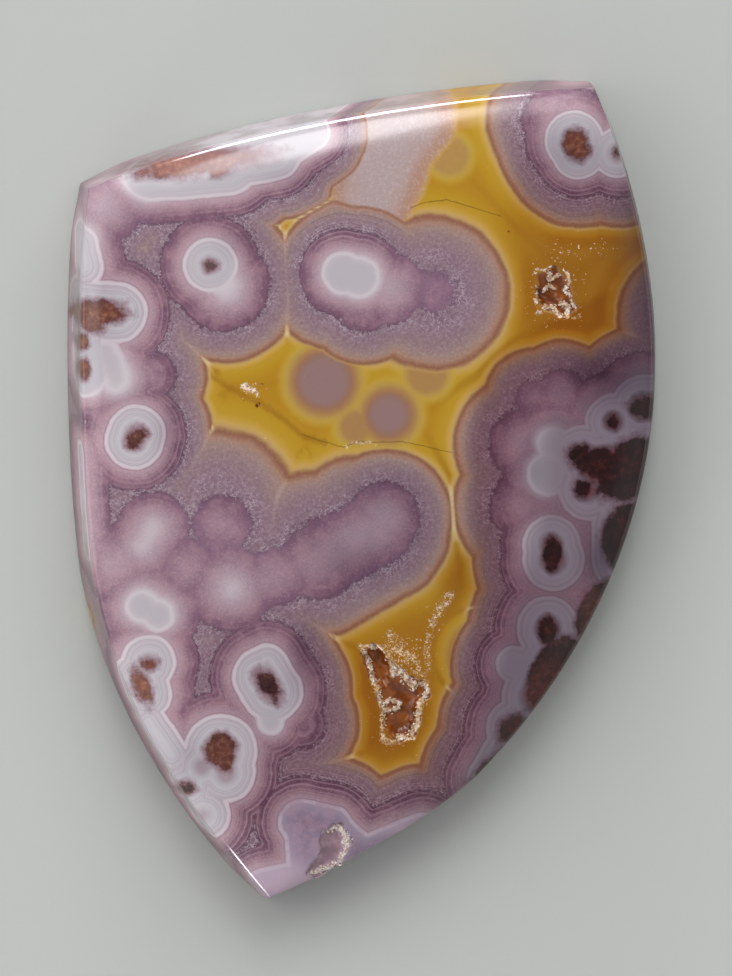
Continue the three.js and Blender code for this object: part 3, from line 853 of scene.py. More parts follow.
agate, tree, shader, mm = new_material("polished_agate")
kept = {
    name: add(tree, "Attribute", out="Fac", attribute_name=name)
    for name in ("growth", "crease", "core", "disc", "pale", "crack", "stain", "pit", "lace", *MASKS)
}
SWAYS_PER_MM, SWAY_MM = 0.9, 0.16
RIPPLES_PER_MM, RIPPLE_MM = 3.5, 0.06
sway = add(tree, "Math", add(tree, "TexNoise", mm, SWAYS_PER_MM), 0.5, **LESS)
ripple = add(tree, "Math", add(tree, "TexNoise", mm, RIPPLES_PER_MM, 3.0), 0.5, **LESS)
swayed = add(tree, "Math", sway, SWAY_MM, kept["growth"], **TIMES_PLUS)
grew = add(tree, "Math", ripple, RIPPLE_MM, swayed, **TIMES_PLUS)
print(len(LAYERS), "layers in the ramp,", len(kept), "numbers read")

# %% [markdown]
# The purple ends in a frill of tiny needles. A noise moves the growth there and nowhere else,
# so the white rings and the brown line stay smooth.

# %% The frill and the layers' colour
NEEDLES_PER_MM = 4.5
FRILL = [(0.0, 0.0), (1.6, 0.0), (1.9, 0.5), (2.4, 0.55), (2.8, 0.12), (3.1, 0.0)]
needle_noise = add(tree, "TexNoise", mm, NEEDLES_PER_MM, 5.0, 0.7)
needles = add(tree, "Math", needle_noise, 0.5, **LESS)
frilled = add(tree, "Math", needles, by_growth(tree, grew, FRILL), grew, **TIMES_PLUS)
colour = by_growth(tree, frilled, LAYERS)
inside_purple = add(tree, "MapRange", frilled, 2.08, 2.0, **STEP)
buried = add(tree, "Math", kept["soft"], inside_purple, **TIMES)
colour = add(tree, "Mix", buried, colour, by_growth(tree, grew, SOFT_LAYERS), **OVER)
print("needles up to", max(amount for _, amount in FRILL) / 2, "mm long")

# %% [markdown]
# Fine layers 0.15 to 0.2 mm apart run all through the stone. They are a noise of one dimension
# along the growth, so each is a closed ring. They are strongest where the lines mask says.

# %% Fine lines
LINE_STRENGTH = [
    (0.0, 0.1), (0.3, 0.25), (0.9, 0.25), (1.1, 0.7), (1.7, 0.95), (2.05, 1.0), (2.3, 0.8), (3.0, 0.5),
    (3.3, 0.1),
]
LINES_PER_MM = 8.0
along_growth = add(tree, "Math", grew, LINES_PER_MM, **TIMES)
line_noise = add(tree, "TexNoise", along_growth, 1.0, 2.0, 0.7, noise_dimensions="1D")
line_share = add(tree, "Math", kept["lines"], 0.92, 0.04, **TIMES_PLUS)
line_share = add(tree, "Math", line_share, by_growth(tree, grew, LINE_STRENGTH), **TIMES)
crisp = add(tree, "Math", kept["soft"], -0.9, 1.0, **TIMES_PLUS)
line_share = add(tree, "Math", line_share, crisp, **TIMES)
# Dark lines lie in the noise's valleys and light ones on its crests: from, to, strength, colour.
for low, high, share, line_colour in ((0.48, 0.36, 0.62, "#573A4C"), (0.54, 0.66, 0.42, "#B9A0AC")):
    line = add(tree, "MapRange", line_noise, low, high, 0.0, share, **STEP)
    colour = add(tree, "Mix", add(tree, "Math", line, line_share, **TIMES), colour, line_colour, **OVER)
print("the noise of the fine lines has", LINES_PER_MM, "waves to the mm")

# %% [markdown]
# The grey zone outside the purple is full of frost: needles of quartz that branch into white
# threads next to the purple, and end in specks of light further out. A thread is where a noise
# passes through its middle value. Two eyes that met share a white seam. Inside, the purple has
# grains that are too fine to show, so they are drawn as coarse as 0.1 mm.

# %% Frost and seams
FROST = [
    (0.95, 0.0), (2.0, 0.0), (2.08, 0.8), (2.25, 0.8), (2.5, 0.6), (2.8, 0.5), (3.05, 0.4), (3.25, 0.25),
    (3.35, 0.0),
]
THREADS = [(1.98, 0.0), (2.06, 1.0), (2.2, 0.9), (2.5, 0.3), (2.8, 0.0)]
SEAM = [(2.3, 0.0), (2.6, 0.25), (2.95, 1.0), (3.1, 1.0), (3.2, 0.0)]
SPECKLES_PER_MM, BRANCHES_PER_MM = 7.0, 4.0
frost_amount = by_growth(tree, frilled, FROST)
thread_amount = by_growth(tree, frilled, THREADS)
speckle = add(tree, "TexNoise", mm, SPECKLES_PER_MM, 3.0, 0.75)
patches = add(tree, "MapRange", add(tree, "TexNoise", mm, 0.8, 2.0), 0.38, 0.6, 0.25, 1.0, **STEP)
branch_noise = add(tree, "Math", add(tree, "TexNoise", mm, BRANCHES_PER_MM, 4.0, 0.6), 0.5, **LESS)
branches = add(tree, "MapRange", add(tree, "Math", branch_noise, **SIZE_OF), 0.03, 0.008, 0.0, 0.62, **STEP)
branches = add(tree, "Math", branches, thread_amount, **TIMES)
lights = add(tree, "MapRange", speckle, 0.5, 0.68, 0.0, 0.4, **STEP)
darks = add(tree, "MapRange", speckle, 0.5, 0.34, 0.0, 0.4, **STEP)
seam = add(tree, "MapRange", kept["crease"], 0.09, 0.0, 0.0, 0.25, **STEP)
FROST_COATS = (
    (add(tree, "Math", darks, frost_amount, **TIMES), "#644C5B"),
    (add(tree, "Math", lights, frost_amount, **TIMES), "#BFB0B9"),
    (add(tree, "Math", branches, patches, **TIMES), "#C2B6BF"),
    (add(tree, "Math", seam, by_growth(tree, grew, SEAM), **TIMES), "#C4B4B4"),
)
for share, tint in FROST_COATS:
    colour = add(tree, "Mix", share, colour, tint, **OVER)
print(len(FROST_COATS), "coats of frost")

# %% Grains of the purple
GRAINS_PER_MM = 9.0
in_purple = by_growth(tree, frilled, [(0.95, 0.0), (1.1, 1.0), (1.9, 1.0), (2.05, 0.0)])
grain = add(tree, "TexNoise", mm, GRAINS_PER_MM, 2.0, 0.6)
clouds = add(tree, "MapRange", add(tree, "TexNoise", mm, 1.3, 4.0, 0.6), 0.4, 0.65, 0.0, 0.22, **STEP)
for share, tint in (
    (add(tree, "MapRange", grain, 0.5, 0.3, 0.0, 0.14, **STEP), "#5E4255"),
    (add(tree, "MapRange", grain, 0.5, 0.7, 0.0, 0.14, **STEP), "#D4BCC2"),
    (clouds, "#C29AA0"),
):
    colour = add(tree, "Mix", add(tree, "Math", share, in_purple, **TIMES), colour, tint, **OVER)
print("grains of", round(1 / GRAINS_PER_MM, 2), "mm")

# %% [markdown]
# The golden fill is chalcedony stained by iron, which turns amber round the hollows. Creases run
# in from the cusps, cream at first and then dark. Buried eyes show as discs, brown at their edge
# and grey inside, with a bright halo. A patch at the top stayed pale, and over all of them come
# the stain, the cracks and the pits.

# %% Colours of the fill
AMBER_LAYERS = [
    (3.38, "#B4905A"), (3.46, "#AE8432"), (3.58, "#A87A20"), (3.7, "#A37019"), (3.8, "#9A6414"),
    (4.0, "#956012"), (4.35, "#986619"), (5.0, "#915F14"),
]
DISC_LAYERS = [
    (-0.5, "#8F7270"), (-0.3, "#906F66"), (-0.12, "#966E56"), (0.02, "#9F7650"), (0.15, "#A7804C"),
    (0.3, "#B08E4A"), (0.5, "#B99A42"), (0.7, "#BC9A38"), (0.95, "#B8902E"),
]
PALE_LAYERS = [
    (-0.35, "#B8953A"), (-0.1, "#BC9450"), (0.1, "#B28B62"), (0.3, "#AB8570"), (0.6, "#A98678"),
    (0.95, "#AC938C"), (1.4, "#AA9694"), (3.0, "#A99799"),
]
print("the amber goes to", AMBER_LAYERS[-1][1], "and the pale patch to", PALE_LAYERS[-1][1])

# %% Fill
is_fill = add(tree, "MapRange", grew, 3.3, 3.45, **STEP)
amber_share = add(tree, "Math", kept["amber"], add(tree, "MapRange", grew, 3.36, 3.48, **STEP), **TIMES)
colour = add(tree, "Mix", amber_share, colour, by_growth(tree, grew, AMBER_LAYERS), **OVER)
fill_crease = add(tree, "MapRange", kept["crease"], 0.22, 0.0, 0.0, 0.5, **STEP)
cusp = add(tree, "MapRange", kept["crease"], 0.13, 0.0, 0.0, 0.8, **STEP)
at_cusp = by_growth(tree, grew, [(3.12, 0.0), (3.22, 0.8), (3.36, 1.0), (3.5, 0.0)])
past_cusp = by_growth(tree, grew, [(3.45, 0.0), (3.65, 1.0), (4.2, 0.3)])
disc_gap = add(tree, "Math", ripple, 0.12, kept["disc"], **TIMES_PLUS)
disc_share = add(tree, "Math", add(tree, "MapRange", disc_gap, 0.95, 0.3, **STEP), is_fill, **TIMES)
pale_gap = add(tree, "Math", sway, 0.6, kept["pale"], **TIMES_PLUS)
pale_fill = add(tree, "MapRange", grew, 3.18, 3.36, **STEP)
pale_share = add(tree, "Math", add(tree, "MapRange", pale_gap, -0.3, 0.1, **STEP), pale_fill, **TIMES)
pale_noise = add(tree, "MapRange", speckle, 0.48, 0.66, 0.0, 0.22, **STEP)
pit = add(tree, "MapRange", kept["pit"], 0.02, -0.04, **STEP)
crack_gap = add(tree, "Math", add(tree, "Math", ripple, 0.12, kept["crack"], **TIMES_PLUS), **SIZE_OF)
thread = add(tree, "MapRange", crack_gap, 0.05, 0.0, 0.0, 0.6, **STEP)
stain_gap = add(tree, "Math", add(tree, "Math", needles, 0.5, kept["stain"], **TIMES_PLUS), **SIZE_OF)
stain = add(tree, "MapRange", stain_gap, 0.3, 0.0, 0.0, 0.55, **STEP)
FILL_COATS = (
    (add(tree, "Math", fill_crease, past_cusp, **TIMES), "#8E5C10"),
    (add(tree, "Math", cusp, at_cusp, **TIMES), "#DCC79A"),
    (disc_share, by_growth(tree, disc_gap, DISC_LAYERS)),
    (pale_share, by_growth(tree, pale_gap, PALE_LAYERS)),
    (add(tree, "Math", pale_noise, pale_share, **TIMES), "#D3C8CC"),
    (add(tree, "Math", stain, is_fill, **TIMES), "#8E5E18"),
    (add(tree, "Math", thread, is_fill, **TIMES), "#5E3E18"),
    (pit, "#5A2408"),
)
for share, tint in FILL_COATS:
    colour = add(tree, "Mix", share, colour, tint, **OVER)
print(len(FILL_COATS), "coats over the fill")

# %% [markdown]
# Milky quartz runs through the fill as lace near the hollows and as scattered specks, which are
# partly white flakes and partly painted glints. A noise passes its middle value along curling
# lines. The lace covers a strip along them, which is wider in the middle of a vein. The specks are
# the peaks of a finer noise.

# %% Lace and specks
CURLS_PER_MM, MILK_GRAINS_PER_MM, SPECKS_PER_MM = 4.5, 5.0, 7.0


def lace_share(tree, mm, closeness):
    """
    How much milky quartz covers a place. The size of a noise minus its middle is 0 along curling
    lines, and a place is covered where that size is less than 0.14 times the closeness, so that
    the lines are threads at a vein's border and melt together in its middle.
    """
    curls = add(tree, "Math", add(tree, "TexNoise", mm, CURLS_PER_MM, 4.0, 0.65), 0.5, **LESS)
    thick = add(tree, "MapRange", closeness, 0.1, 1.0, 0.0, 0.14)
    under = add(tree, "Math", thick, add(tree, "Math", curls, **SIZE_OF), **LESS)
    return add(tree, "MapRange", under, 0.0, 0.02, 0.0, 0.92, **STEP)


def milk_colour(tree, mm, stops):
    """The milky quartz's colours, picked by a noise."""
    grains = add(tree, "TexNoise", mm, MILK_GRAINS_PER_MM, 3.0, 0.6)
    return add(tree, "ValToRGB", grains, stops=stops)


AMBER_MILK = [(0.36, "#9A7350"), (0.5, "#C9AE8E"), (0.62, "#F2E8DC")]
PALE_MILK = [(0.36, "#A98F97"), (0.5, "#D6C4C0"), (0.62, "#F4EAE0")]
lace = lace_share(tree, mm, kept["lace"])
colour = add(tree, "Mix", lace, colour, milk_colour(tree, mm, AMBER_MILK), **OVER)
speck_noise = add(tree, "TexNoise", mm, SPECKS_PER_MM, 3.0, 0.7)
speck_floor = add(tree, "Math", kept["flakes_and_glints"], -0.22, 0.73, **TIMES_PLUS)
above_floor = add(tree, "Math", speck_noise, speck_floor, **LESS)
specks_and_glints = add(tree, "MapRange", above_floor, 0.0, 0.04, 0.0, 0.9, **STEP)
# Light specks: partly white flakes, partly painted glints
colour = add(tree, "Mix", specks_and_glints, colour, "#EAD6C4", **OVER)
print("milky quartz with", CURLS_PER_MM, "curls to the mm")

# %% [markdown]
# At the tip and at the bottom the last fill is a lilac quartz, clear and cool, inside one thin
# pale outline. It takes the place of the white zone there, and is clouded, and milky and lighter
# where the film mask says, partly as painted light glowing through the thin edge.

# %% Lilac fill
LILAC_LAYERS = [
    (0.0, "#8C7488"), (0.4, "#8E7C92"), (0.78, "#9A8C9E"), (0.86, "#BAACB8"), (0.97, "#BAA9B4"),
    (1.04, "#907488"),
]
lilac_share = add(tree, "Math", kept["lilac"], add(tree, "MapRange", grew, 1.06, 1.0, **STEP), **TIMES)
lilac_colour = by_growth(tree, grew, LILAC_LAYERS)
lilac_cloud = add(tree, "MapRange", add(tree, "TexNoise", mm, 1.4, 5.0, 0.7), 0.42, 0.6, 0.0, 0.7, **STEP)
lilac_colour = add(tree, "Mix", lilac_cloud, lilac_colour, "#A68C9C", **OVER)
# Lighter lilac where the film mask says, partly painted light, the glow of the thin edge
lilac_colour = add(tree, "Mix", kept["film_and_glow"], lilac_colour, "#C0AABA", **OVER)
colour = add(tree, "Mix", lilac_share, colour, lilac_colour, **OVER)
print(len(LILAC_LAYERS), "layers of lilac")

# %% [markdown]
# The cores are moss of iron oxide, rusty or maroon, grainy and darker at the rim. A noise rags
# their outline, less where a milky film lies over them, and a faint stain surrounds them.

# %% Cores
CORE_GRAINS_PER_MM = 3.5
rag = add(tree, "Math", add(tree, "TexNoise", mm, 2.2, 5.0, 0.65), 0.5, **LESS)
filmed = add(tree, "Math", kept["film_and_glow"], -1.0, 1.0, **TIMES_PLUS)
core_gap = add(tree, "Math", add(tree, "Math", rag, filmed, **TIMES), 0.75, kept["core"], **TIMES_PLUS)
rust_grain = add(tree, "TexNoise", mm, CORE_GRAINS_PER_MM, 4.0, 0.6)
RUST = [(0.34, "#7A4639"), (0.5, "#8E5844"), (0.62, "#A26B52"), (0.74, "#BA8A6C")]
MAROON = [(0.36, "#331E1F"), (0.5, "#402629"), (0.62, "#4E302F"), (0.76, "#704C42")]
core_colour = add(
    tree, "Mix", kept["rust"], add(tree, "ValToRGB", rust_grain, stops=MAROON),
    add(tree, "ValToRGB", rust_grain, stops=RUST), **OVER,
)
core_rim = add(tree, "MapRange", core_gap, -0.16, 0.0, 0.0, 0.6, **STEP)
core_colour = add(tree, "Mix", core_rim, core_colour, "#5A302E", **OVER)
core_share = add(tree, "MapRange", core_gap, 0.09, -0.09, **STEP)
for share, tint in (
    (add(tree, "MapRange", core_gap, 0.34, 0.0, 0.0, 0.75, **STEP), "#84606A"),
    (add(tree, "Math", core_share, filmed, **TIMES), core_colour),
):
    colour = add(tree, "Mix", share, colour, tint, **OVER)
print("rust from", RUST[0][1], "to", RUST[-1][1])

# %% [markdown]
# The finish. Polished with oxide on leather the face is nearly a mirror, with chalcedony's IOR
# of 1.54. The wall was only ground, so it is rougher, and lower down it is darker in grey-brown
# patches, but not on the rounded edge above it. The hollows are unpolished and stained amber, or
# grey in the lilac. Along the right edge, and less in the upper right corner and at the bottom,
# the stone is darker: at the edge and in the corner it is clear enough for the dark mass behind
# to show, which takes more from the clear layers than from the milky ones, and at the bottom
# this is partly painted shade, darker towards the bottom. Iron reddens the layers where the plum
# mask says, and towards the bottom that too is partly painted shade. Some places are darker,
# partly in the stone's own colour and partly as painted shade.

# %% Finish of the stone
PLUM_TINT = [
    (0.9, "#FFFFFF"), (1.2, "#DCD4D9"), (1.5, "#D9CCD1"), (1.8, "#CFBFC4"), (2.1, "#D2BCBD"),
    (2.4, "#CFBBBF"), (2.7, "#CFBDBC"), (3.0, "#D5BFB0"), (3.3, "#DCC6A8"), (3.6, "#E9D4AC"),
]
SMOKE_TINT = [
    (-0.35, "#BE8A8C"), (0.05, "#988A92"), (0.3, "#AFA3AE"), (0.7, "#B0A5AE"), (0.85, "#A298A2"),
    (1.0, "#AFA4AC"), (1.3, "#DAD4DA"), (1.6, "#FFFFFF"),
]
POLISHED, GROUND = 0.08, 0.42
AGATE_IOR = 1.54
deep_colour = add(tree, "Mix", kept["lilac"], "#A2601C", "#8A6C80", **OVER)
deep_share = add(tree, "MapRange", kept["deep"], 0.0, 0.4, **STEP)
colour = add(tree, "Mix", deep_share, colour, deep_colour, **OVER)
for name, tint in (
    # Plum tint, which along the bottom is partly painted shade
    ("plum_and_shade", by_growth(tree, grew, PLUM_TINT)),
    # Smoke tint, which along the bottom is partly painted shade
    ("smoke_and_shade", by_growth(tree, grew, SMOKE_TINT)),
    # The tint of the darker spots: partly darker stone, partly painted shade
    ("darker_stone_and_shade", "#ACA5B4"),
):
    colour = add(tree, "Mix", kept[name], colour, tint, **DARKEN)
# The wall is darker in noisy grey-brown patches below the rounded edge
wall_patch_noise = add(tree, "MapRange", add(tree, "TexNoise", mm, 0.5, 3.0, 0.6), 0.4, 0.6, 0.12, 0.5, **STEP)
below_edge = add(tree, "Math", kept["wall"], 3.0, operation="POWER")
darker_wall_patches = add(tree, "Math", below_edge, wall_patch_noise, **TIMES)
colour = add(tree, "Mix", darker_wall_patches, colour, "#6E645E", **OVER)
tree.links.new(colour, shader.inputs["Base Color"])
tree.links.new(add(tree, "MapRange", kept["wall"], 0.0, 1.0, POLISHED, GROUND), shader.inputs["Roughness"])
shader.inputs["IOR"].default_value = AGATE_IOR
stone.data.materials.append(agate)
print(len(tree.nodes), "nodes in the agate")

# %% Place the stone in the frame
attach(stone, "root")
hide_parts("agate_stone")

# %% [markdown]
# The hollows are lined with quartz. A quartz crystal is a six-sided prism with a six-sided
# point. Each is up to 0.2 mm long here, so it gets only its flat faces, and hundreds of them grow
# side by side along the veins.

# %% Quartz points
SHOULDER = 0.55
CORNERS = 14


def quartz_points(feet, axes, radii, lengths, spins):
    """
    For each crystal: a ring of six corners at the foot, the same ring at the shoulder, one tip
    and the middle of the foot. Corner k is at radius * (cos(a) * side + sin(a) * across) from the
    axis, with a = spin + k * 60 degrees. Side and across are unit vectors square to the axis.
    """
    axes = axes / np.linalg.norm(axes, axis=1, keepdims=True)
    side = np.cross(axes, [0.0, 1.0, 0.0])
    side /= np.linalg.norm(side, axis=1, keepdims=True)
    across = np.cross(axes, side)
    angle = (spins[:, None] + np.arange(6) * math.pi / 3)[..., None]
    ring = np.cos(angle) * side[:, None] + np.sin(angle) * across[:, None]
    ring = feet[:, None] + ring * radii[:, None, None]
    shoulder = ring + (axes * (lengths * SHOULDER)[:, None])[:, None]
    tip = feet + axes * lengths[:, None]
    return np.concatenate([ring, shoulder, tip[:, None], feet[:, None]], axis=1).reshape(-1, 3)


def quartz_faces(count):
    """Corner numbers of the six sides, the six faces of the point and the six of the foot."""
    k, after = np.arange(6), (np.arange(6) + 1) % 6
    start = (np.arange(count) * CORNERS)[:, None, None]
    sides = np.stack([k, after, after + 6, k + 6], axis=1) + start
    point = np.stack([k + 6, after + 6, np.full(6, 12)], axis=1) + start
    foot = np.stack([after, k, np.full(6, 13)], axis=1) + start
    return sides.reshape(-1, 4), np.concatenate([point, foot], axis=1).reshape(-1, 3)


print("one crystal has", CORNERS, "corners and 24 triangles")

# %% [markdown]
# The crystals are strewn with a seeded random draw along the veins. They lean every way, and a
# high one is let down until it stays under the polished face, because the cutter took the rest.

# %% Crystals of one hollow
CRYSTALS_PER_MM = 55
THIN, THICK = 0.02, 0.06
SQUAT, SLENDER = 2.0, 3.5
STREWN, LEANING = 0.4, 0.8
ROOTED, UNDER_FACE, LEAST_DEPTH = 0.3, 0.02, 0.08


def along_vein(draw, places, width):
    """Random places near a path: even along its length, strewn across it by a share of its width."""
    path = np.array(places)
    steps = np.linalg.norm(np.diff(path, axis=0), axis=1)
    length = np.concatenate([[0], np.cumsum(steps)])
    count = int(CRYSTALS_PER_MM * length[-1])
    at = draw.uniform(0, length[-1], count)
    xy = np.stack([np.interp(at, length, path[:, k]) for k in range(2)], axis=1)
    return xy + draw.normal(0, STREWN * width, (count, 2))


def milky_points(name, draw):
    """The small milky crystals of one hollow, rooted in its bed, none above the polished face."""
    xy = np.concatenate([along_vein(draw, *vein) for vein in VEINS[name]])
    depth = hollow_depth(xy, HOLLOWS[name])
    xy = xy[depth > LEAST_DEPTH]
    count = len(xy)
    radii = draw.uniform(THIN, THICK, count)
    lengths = radii * draw.uniform(SQUAT, SLENDER, count)
    axes = np.column_stack([draw.normal(0, LEANING, (count, 2)), np.ones(count)])
    feet = np.column_stack([xy, bed_height(xy, name) - ROOTED * lengths])
    highest = face_height(xy) - UNDER_FACE - lengths - feet[:, 2]
    feet[:, 2] += np.minimum(highest, 0)
    return quartz_points(feet, axes, radii, lengths, draw.uniform(0, math.pi, count)), count


# %% [markdown]
# The floor of a hollow is a bed of crystals grown so close that only one rolling glassy surface
# shows. It fills half of the bowl, reaches its rim and swells under the veins. It is one closed
# sheet, a grid of heights with a lower copy and a wall between them.

# %% The bed of a hollow
BED_FILL, BED_SUNK = 0.5, 0.03
BED_STEP, BED_THICK = 0.045, 0.25
WAVES = ((3.5, 2.0, 0.0), (-2.5, 4.5, 1.3), (6.0, -3.5, 2.1), (3.0, 7.5, 0.7))
WAVE_RISE, VEIN_RISE = 0.02, 0.12


def bed_height(xy, name):
    """
    Height = face - depth * (1 - fill) - sunk + rise * waves + a swelling under the veins. The
    waves are the sum of sin(a * x + b * y + start) for a few directions, the swelling goes with
    the root of the closeness to a vein, and both fade out at the rim.
    """
    depth = hollow_depth(xy, HOLLOWS[name])
    waves = sum(np.sin(a * xy[:, 0] + b * xy[:, 1] + start) for a, b, start in WAVES)
    swell = VEIN_RISE * np.sqrt(vein_closeness(xy, VEINS[name]))
    inner = smooth_step(0.05, 0.5, depth)
    return face_height(xy) - depth * (1 - BED_FILL) - BED_SUNK + inner * (WAVE_RISE * waves + swell)


def bed(name):
    """A grid of heights over the bowls of one hollow, closed below, as points and quads."""
    lobes = HOLLOWS[name]
    centres = np.array([(lobe["x"], lobe["y"]) for lobe in lobes])
    reach = np.array([lobe["long"] * (1 + 2 * RIM_RIPPLE) for lobe in lobes])[:, None]
    low, high = (centres - reach).min(axis=0), (centres + reach).max(axis=0)
    across, along = (np.arange(low[k], high[k], BED_STEP) for k in range(2))
    xy = np.stack(np.meshgrid(across, along), axis=-1).reshape(-1, 2)
    top = np.column_stack([xy, bed_height(xy, name)])
    columns, rows = len(across), len(along)
    numbers = np.arange(columns * rows).reshape(rows, columns)
    inside = hollow_depth(xy, lobes).reshape(rows, columns) > 0
    cell = inside[:-1, :-1] | inside[1:, :-1] | inside[:-1, 1:] | inside[1:, 1:]
    corners = [numbers[:-1, :-1], numbers[:-1, 1:], numbers[1:, 1:], numbers[1:, :-1]]
    quads = np.stack(corners, axis=-1)[cell]
    return close_sheet(top, quads, BED_THICK)


def close_sheet(top, quads, thick):
    """A closed slab: the sheet, a copy of it lower by thick, and a wall along its open edges."""
    used, quads = np.unique(quads, return_inverse=True)
    top, quads = top[used], quads.reshape(-1, 4)
    count = len(top)
    edges = np.stack([quads, np.roll(quads, -1, axis=1)], axis=-1).reshape(-1, 2)
    there, back = edges[:, 0] * count + edges[:, 1], edges[:, 1] * count + edges[:, 0]
    rim = edges[~np.isin(there, back)]
    wall = np.stack([rim[:, 1], rim[:, 0], rim[:, 0] + count, rim[:, 1] + count], axis=1)
    points = np.concatenate([top, top - [0, 0, thick]])
    return points, np.concatenate([quads, quads[:, ::-1] + count, wall])


def crust(name, seed):
    """The bed and the milky crystals of one hollow as one piece, and which faces are the bed's."""
    draw = np.random.default_rng(seed)
    bed_points, bed_quads = bed(name)
    points, count = milky_points(name, draw)
    sides, triangles = quartz_faces(count)
    start = len(bed_points)
    piece = make_piece(
        name + "_points", np.concatenate([bed_points, points]),
        np.concatenate([bed_quads, sides + start]), triangles + start, smooth=False,
    )
    is_bed = np.arange(len(piece.data.polygons)) < len(bed_quads)
    piece.data.polygons.foreach_set("use_smooth", is_bed)
    lace = vein_closeness(bed_points[:, :2], VEINS[name])
    add_attribute(piece, "lace", np.concatenate([lace, np.ones(len(points))]))
    print(name, count, "crystals,", 2 * len(bed_quads) + 24 * count, "triangles")
    return piece, is_bed


# %% [markdown]
# Quartz is clear, with an IOR of 1.544. Iron stains it amber in the lower and the upper hollow,
# where the light that goes through is also absorbed, and the pale hollow at the tip has none.
# The bed is full of flaws, so only a quarter of the light passes. Milky quartz is the same
# stone, full of tiny bubbles that scatter the light, so still less passes through it.

# %% Quartz materials
QUARTZ_IOR, QUARTZ_ROUGHNESS, MILKY_ROUGHNESS = 1.544, 0.07, 0.1
CLEAR_PASSES, MILK_PASSES = 0.25, 0.1


def quartz_material(name, colours, milk):
    """Clear quartz of a noise between two colours, laced with milky quartz where a vein is."""
    quartz, tree, shader, mm = new_material(name)
    closeness = add(tree, "Attribute", out="Fac", attribute_name="lace")
    milky = lace_share(tree, mm, closeness)
    share = add(tree, "MapRange", add(tree, "TexNoise", mm, 1.3, 3.0, 0.6), 0.4, 0.6, **STEP)
    clear = add(tree, "Mix", share, *colours, **OVER)
    colour = add(tree, "Mix", milky, clear, milk_colour(tree, mm, milk), **OVER)
    passes = add(tree, "MapRange", milky, 0.0, 1.0, CLEAR_PASSES, MILK_PASSES)
    tree.links.new(colour, shader.inputs["Base Color"])
    tree.links.new(passes, shader.inputs["Transmission Weight"])
    shader.inputs["Roughness"].default_value = QUARTZ_ROUGHNESS
    shader.inputs["IOR"].default_value = QUARTZ_IOR
    return quartz, tree


ABSORPTION_PER_M = 700.0
amber_quartz, tree = quartz_material("clear_amber_quartz", ("#AA5C18", "#7E3E0E"), AMBER_MILK)
depth_colour = add(tree, "VolumeAbsorption", "#C98030", ABSORPTION_PER_M)
tree.links.new(depth_colour, tree.nodes["Material Output"].inputs["Volume"])
pale_quartz, _ = quartz_material("clear_pale_quartz", ("#B99AA6", "#9C7F8C"), PALE_MILK)


def milky_quartz(name, milk):
    """The same milky quartz for the small crystals, which stand in it."""
    quartz, tree, shader, mm = new_material(name)
    tree.links.new(milk_colour(tree, mm, milk), shader.inputs["Base Color"])
    shader.inputs["Roughness"].default_value = MILKY_ROUGHNESS
    shader.inputs["IOR"].default_value = QUARTZ_IOR
    shader.inputs["Transmission Weight"].default_value = MILK_PASSES
    return quartz


# %% Line the three hollows
FIRST_SEED = 5
milky_amber = milky_quartz("milky_amber_quartz", [(0.36, "#B8916A"), (0.5, "#DCC3A8"), (0.62, "#F2E6D8")])
milky_pale = milky_quartz("milky_pale_quartz", [(0.36, "#C5ABA8"), (0.5, "#E2D2C8"), (0.62, "#F6EEE6")])
for seed, name in enumerate(HOLLOWS):
    piece, is_bed = crust(name, FIRST_SEED + seed)
    is_pale = name == "crystals_tip_hollow"
    piece.data.materials.append(milky_pale if is_pale else milky_amber)
    piece.data.materials.append(pale_quartz if is_pale else amber_quartz)
    piece.data.polygons.foreach_set("material_index", is_bed.astype(np.int32))
    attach(piece, "root")
    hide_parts(name)

# %% [markdown]
# A plain pale floor of felt under the stone.

# %% Floor
FLOOR_REACH = 0.4
floor_data = bpy.data.meshes.new("floor")
floor_corners = [(-1, -1), (1, -1), (1, 1), (-1, 1)]
floor_data.from_pydata([(x * FLOOR_REACH, y * FLOOR_REACH, 0) for x, y in floor_corners], [], [(0, 1, 2, 3)])
floor = bpy.data.objects.new("floor", floor_data)
bpy.context.collection.objects.link(floor)
felt, _, felt_shader, _ = new_material("pale_floor")
felt_shader.inputs["Base Color"].default_value = linear("#BDC1BD")
felt_shader.inputs["Roughness"].default_value = 0.9
floor_data.materials.append(felt)
print("floor", 2 * FLOOR_REACH, "m wide")

# %% [markdown]
# Soft studio light. A tall window behind the stone lays the white veil along its upper edge, with
# soft borders, and a fainter one stands beside it. They stop well above the horizon, so that from
# the front the face still shows and isn't all glare. Three wide faint ones stand low on the left
# and higher behind, so that the wall and the edge have something pale to mirror. The room is
# darker overhead, where the camera stands, and to the right, and that keeps the colours of the
# polished face deep.

# %% Soft light of the room
ROOM_STRENGTH = 1.3
ROOM_BY_HEIGHT = [(0.5, 0.8), (0.75, 1.0), (0.88, 0.75), (0.95, 0.3), (1.0, 0.2)]
world = bpy.data.worlds.new("room")
world.use_nodes = True
room = world.node_tree
direction = add(room, "TexCoord", out="Generated")
ALONG = 1000.0


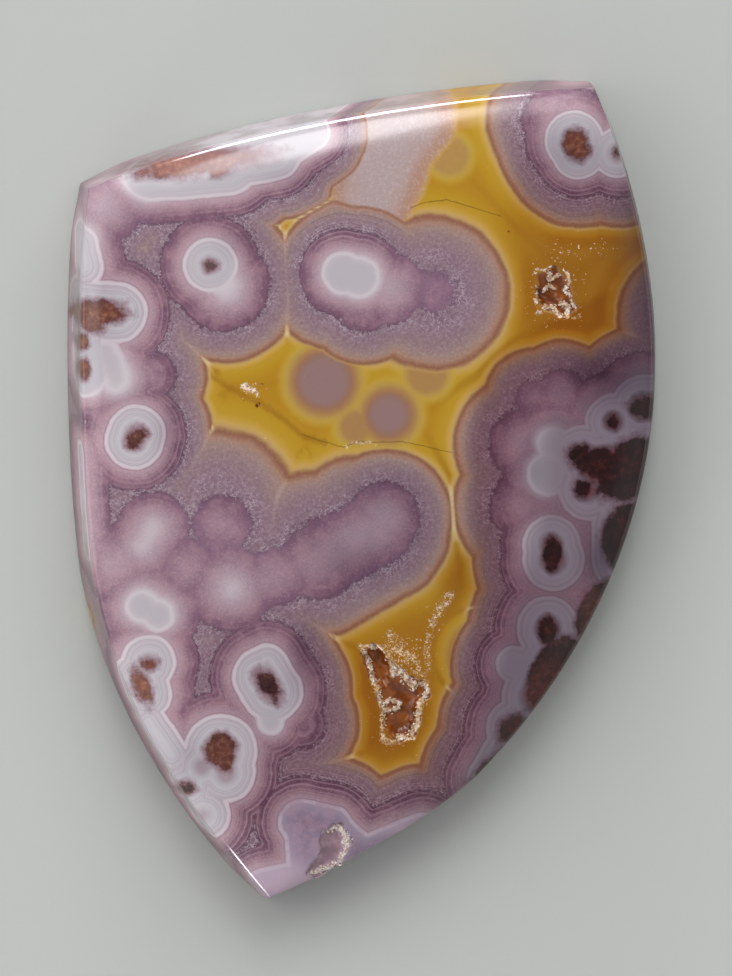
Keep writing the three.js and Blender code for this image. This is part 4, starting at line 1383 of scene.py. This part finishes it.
def soft_window(azimuth, elevation, half_width, half_height, radiance):
    """
    A window with soft borders, its half sizes in degrees. The direction is turned so that x
    points at its middle, and y and z are divided by the sines of the half sizes, x by so much
    that it doesn't count. The light falls off smoothly where the length goes from 0.75 to 1.15.
    """
    turned = add(
        room, "Mapping", direction, (0, 0, 0), (0, -math.radians(elevation), math.radians(azimuth)),
        (ALONG, math.sin(math.radians(half_width)), math.sin(math.radians(half_height))),
        vector_type="TEXTURE",
    )
    off_middle = add(room, "VectorMath", turned, operation="LENGTH", out="Value")
    return add(room, "MapRange", off_middle, 1.15, 0.75, 0.0, radiance, **STEP)


height = add(room, "SeparateXYZ", direction, out="Z")
from_right = add(room, "VectorMath", direction, (0.75, -0.35, 0.0), operation="DOT_PRODUCT", out="Value")
light = add(room, "ValToRGB", add(room, "MapRange", height, -1.0, 1.0), stops=ROOM_BY_HEIGHT)
dimming = add(room, "MapRange", from_right, -0.3, 0.9, ROOM_STRENGTH, 0.4 * ROOM_STRENGTH)
light = add(room, "Math", light, dimming, **TIMES)
WINDOWS = (
    (94.6, 50, 5.1, 22, 9.5), (85, 50, 7, 22, 2.0), (178, 5, 30, 8, 1.8), (150, 42, 35, 23, 1.2),
    (66, 40, 22, 25, 1.6),
)
for window in WINDOWS:
    light = add(room, "Math", light, soft_window(*window), operation="ADD")
background = room.nodes["Background"]
background.inputs["Color"].default_value = linear("#DAD9DA")
room.links.new(light, background.inputs["Strength"])
bpy.context.scene.world = world
bpy.context.scene.view_settings.view_transform = "Standard"
print(len(WINDOWS), "windows")

# %% [markdown]
# Two small lamps low on the horizon mirror in the rounded arris: one behind the stone draws the
# bright line along the top, and one in front on the left gives the glint at the tip.

# %% Two small lamps for the edge
LAMP_DISTANCE = 300


def add_light(name, azimuth, elevation, width, height, radiance):
    """An upright lamp that faces the stone, its size in mm. Its power is radiance * pi * area."""
    data = bpy.data.lights.new(name, "AREA")
    data.shape, data.size, data.size_y = "RECTANGLE", width * MM, height * MM
    data.energy = radiance * math.pi * data.size * data.size_y
    lamp = bpy.data.objects.new(name, data)
    bpy.context.collection.objects.link(lamp)
    turn, lift = math.radians(azimuth), math.radians(elevation)
    away = Vector((math.cos(turn) * math.cos(lift), math.sin(turn) * math.cos(lift), math.sin(lift)))
    lamp.location = away * LAMP_DISTANCE * MM
    lamp.rotation_euler = (-away).to_track_quat("-Z", "Y").to_euler()
    print(name, round(data.energy, 2), "W")


add_light("window_edge", azimuth=96, elevation=7, width=85, height=65, radiance=24.0)
add_light("tip_glint", azimuth=231, elevation=8, width=40, height=60, radiance=25.0)
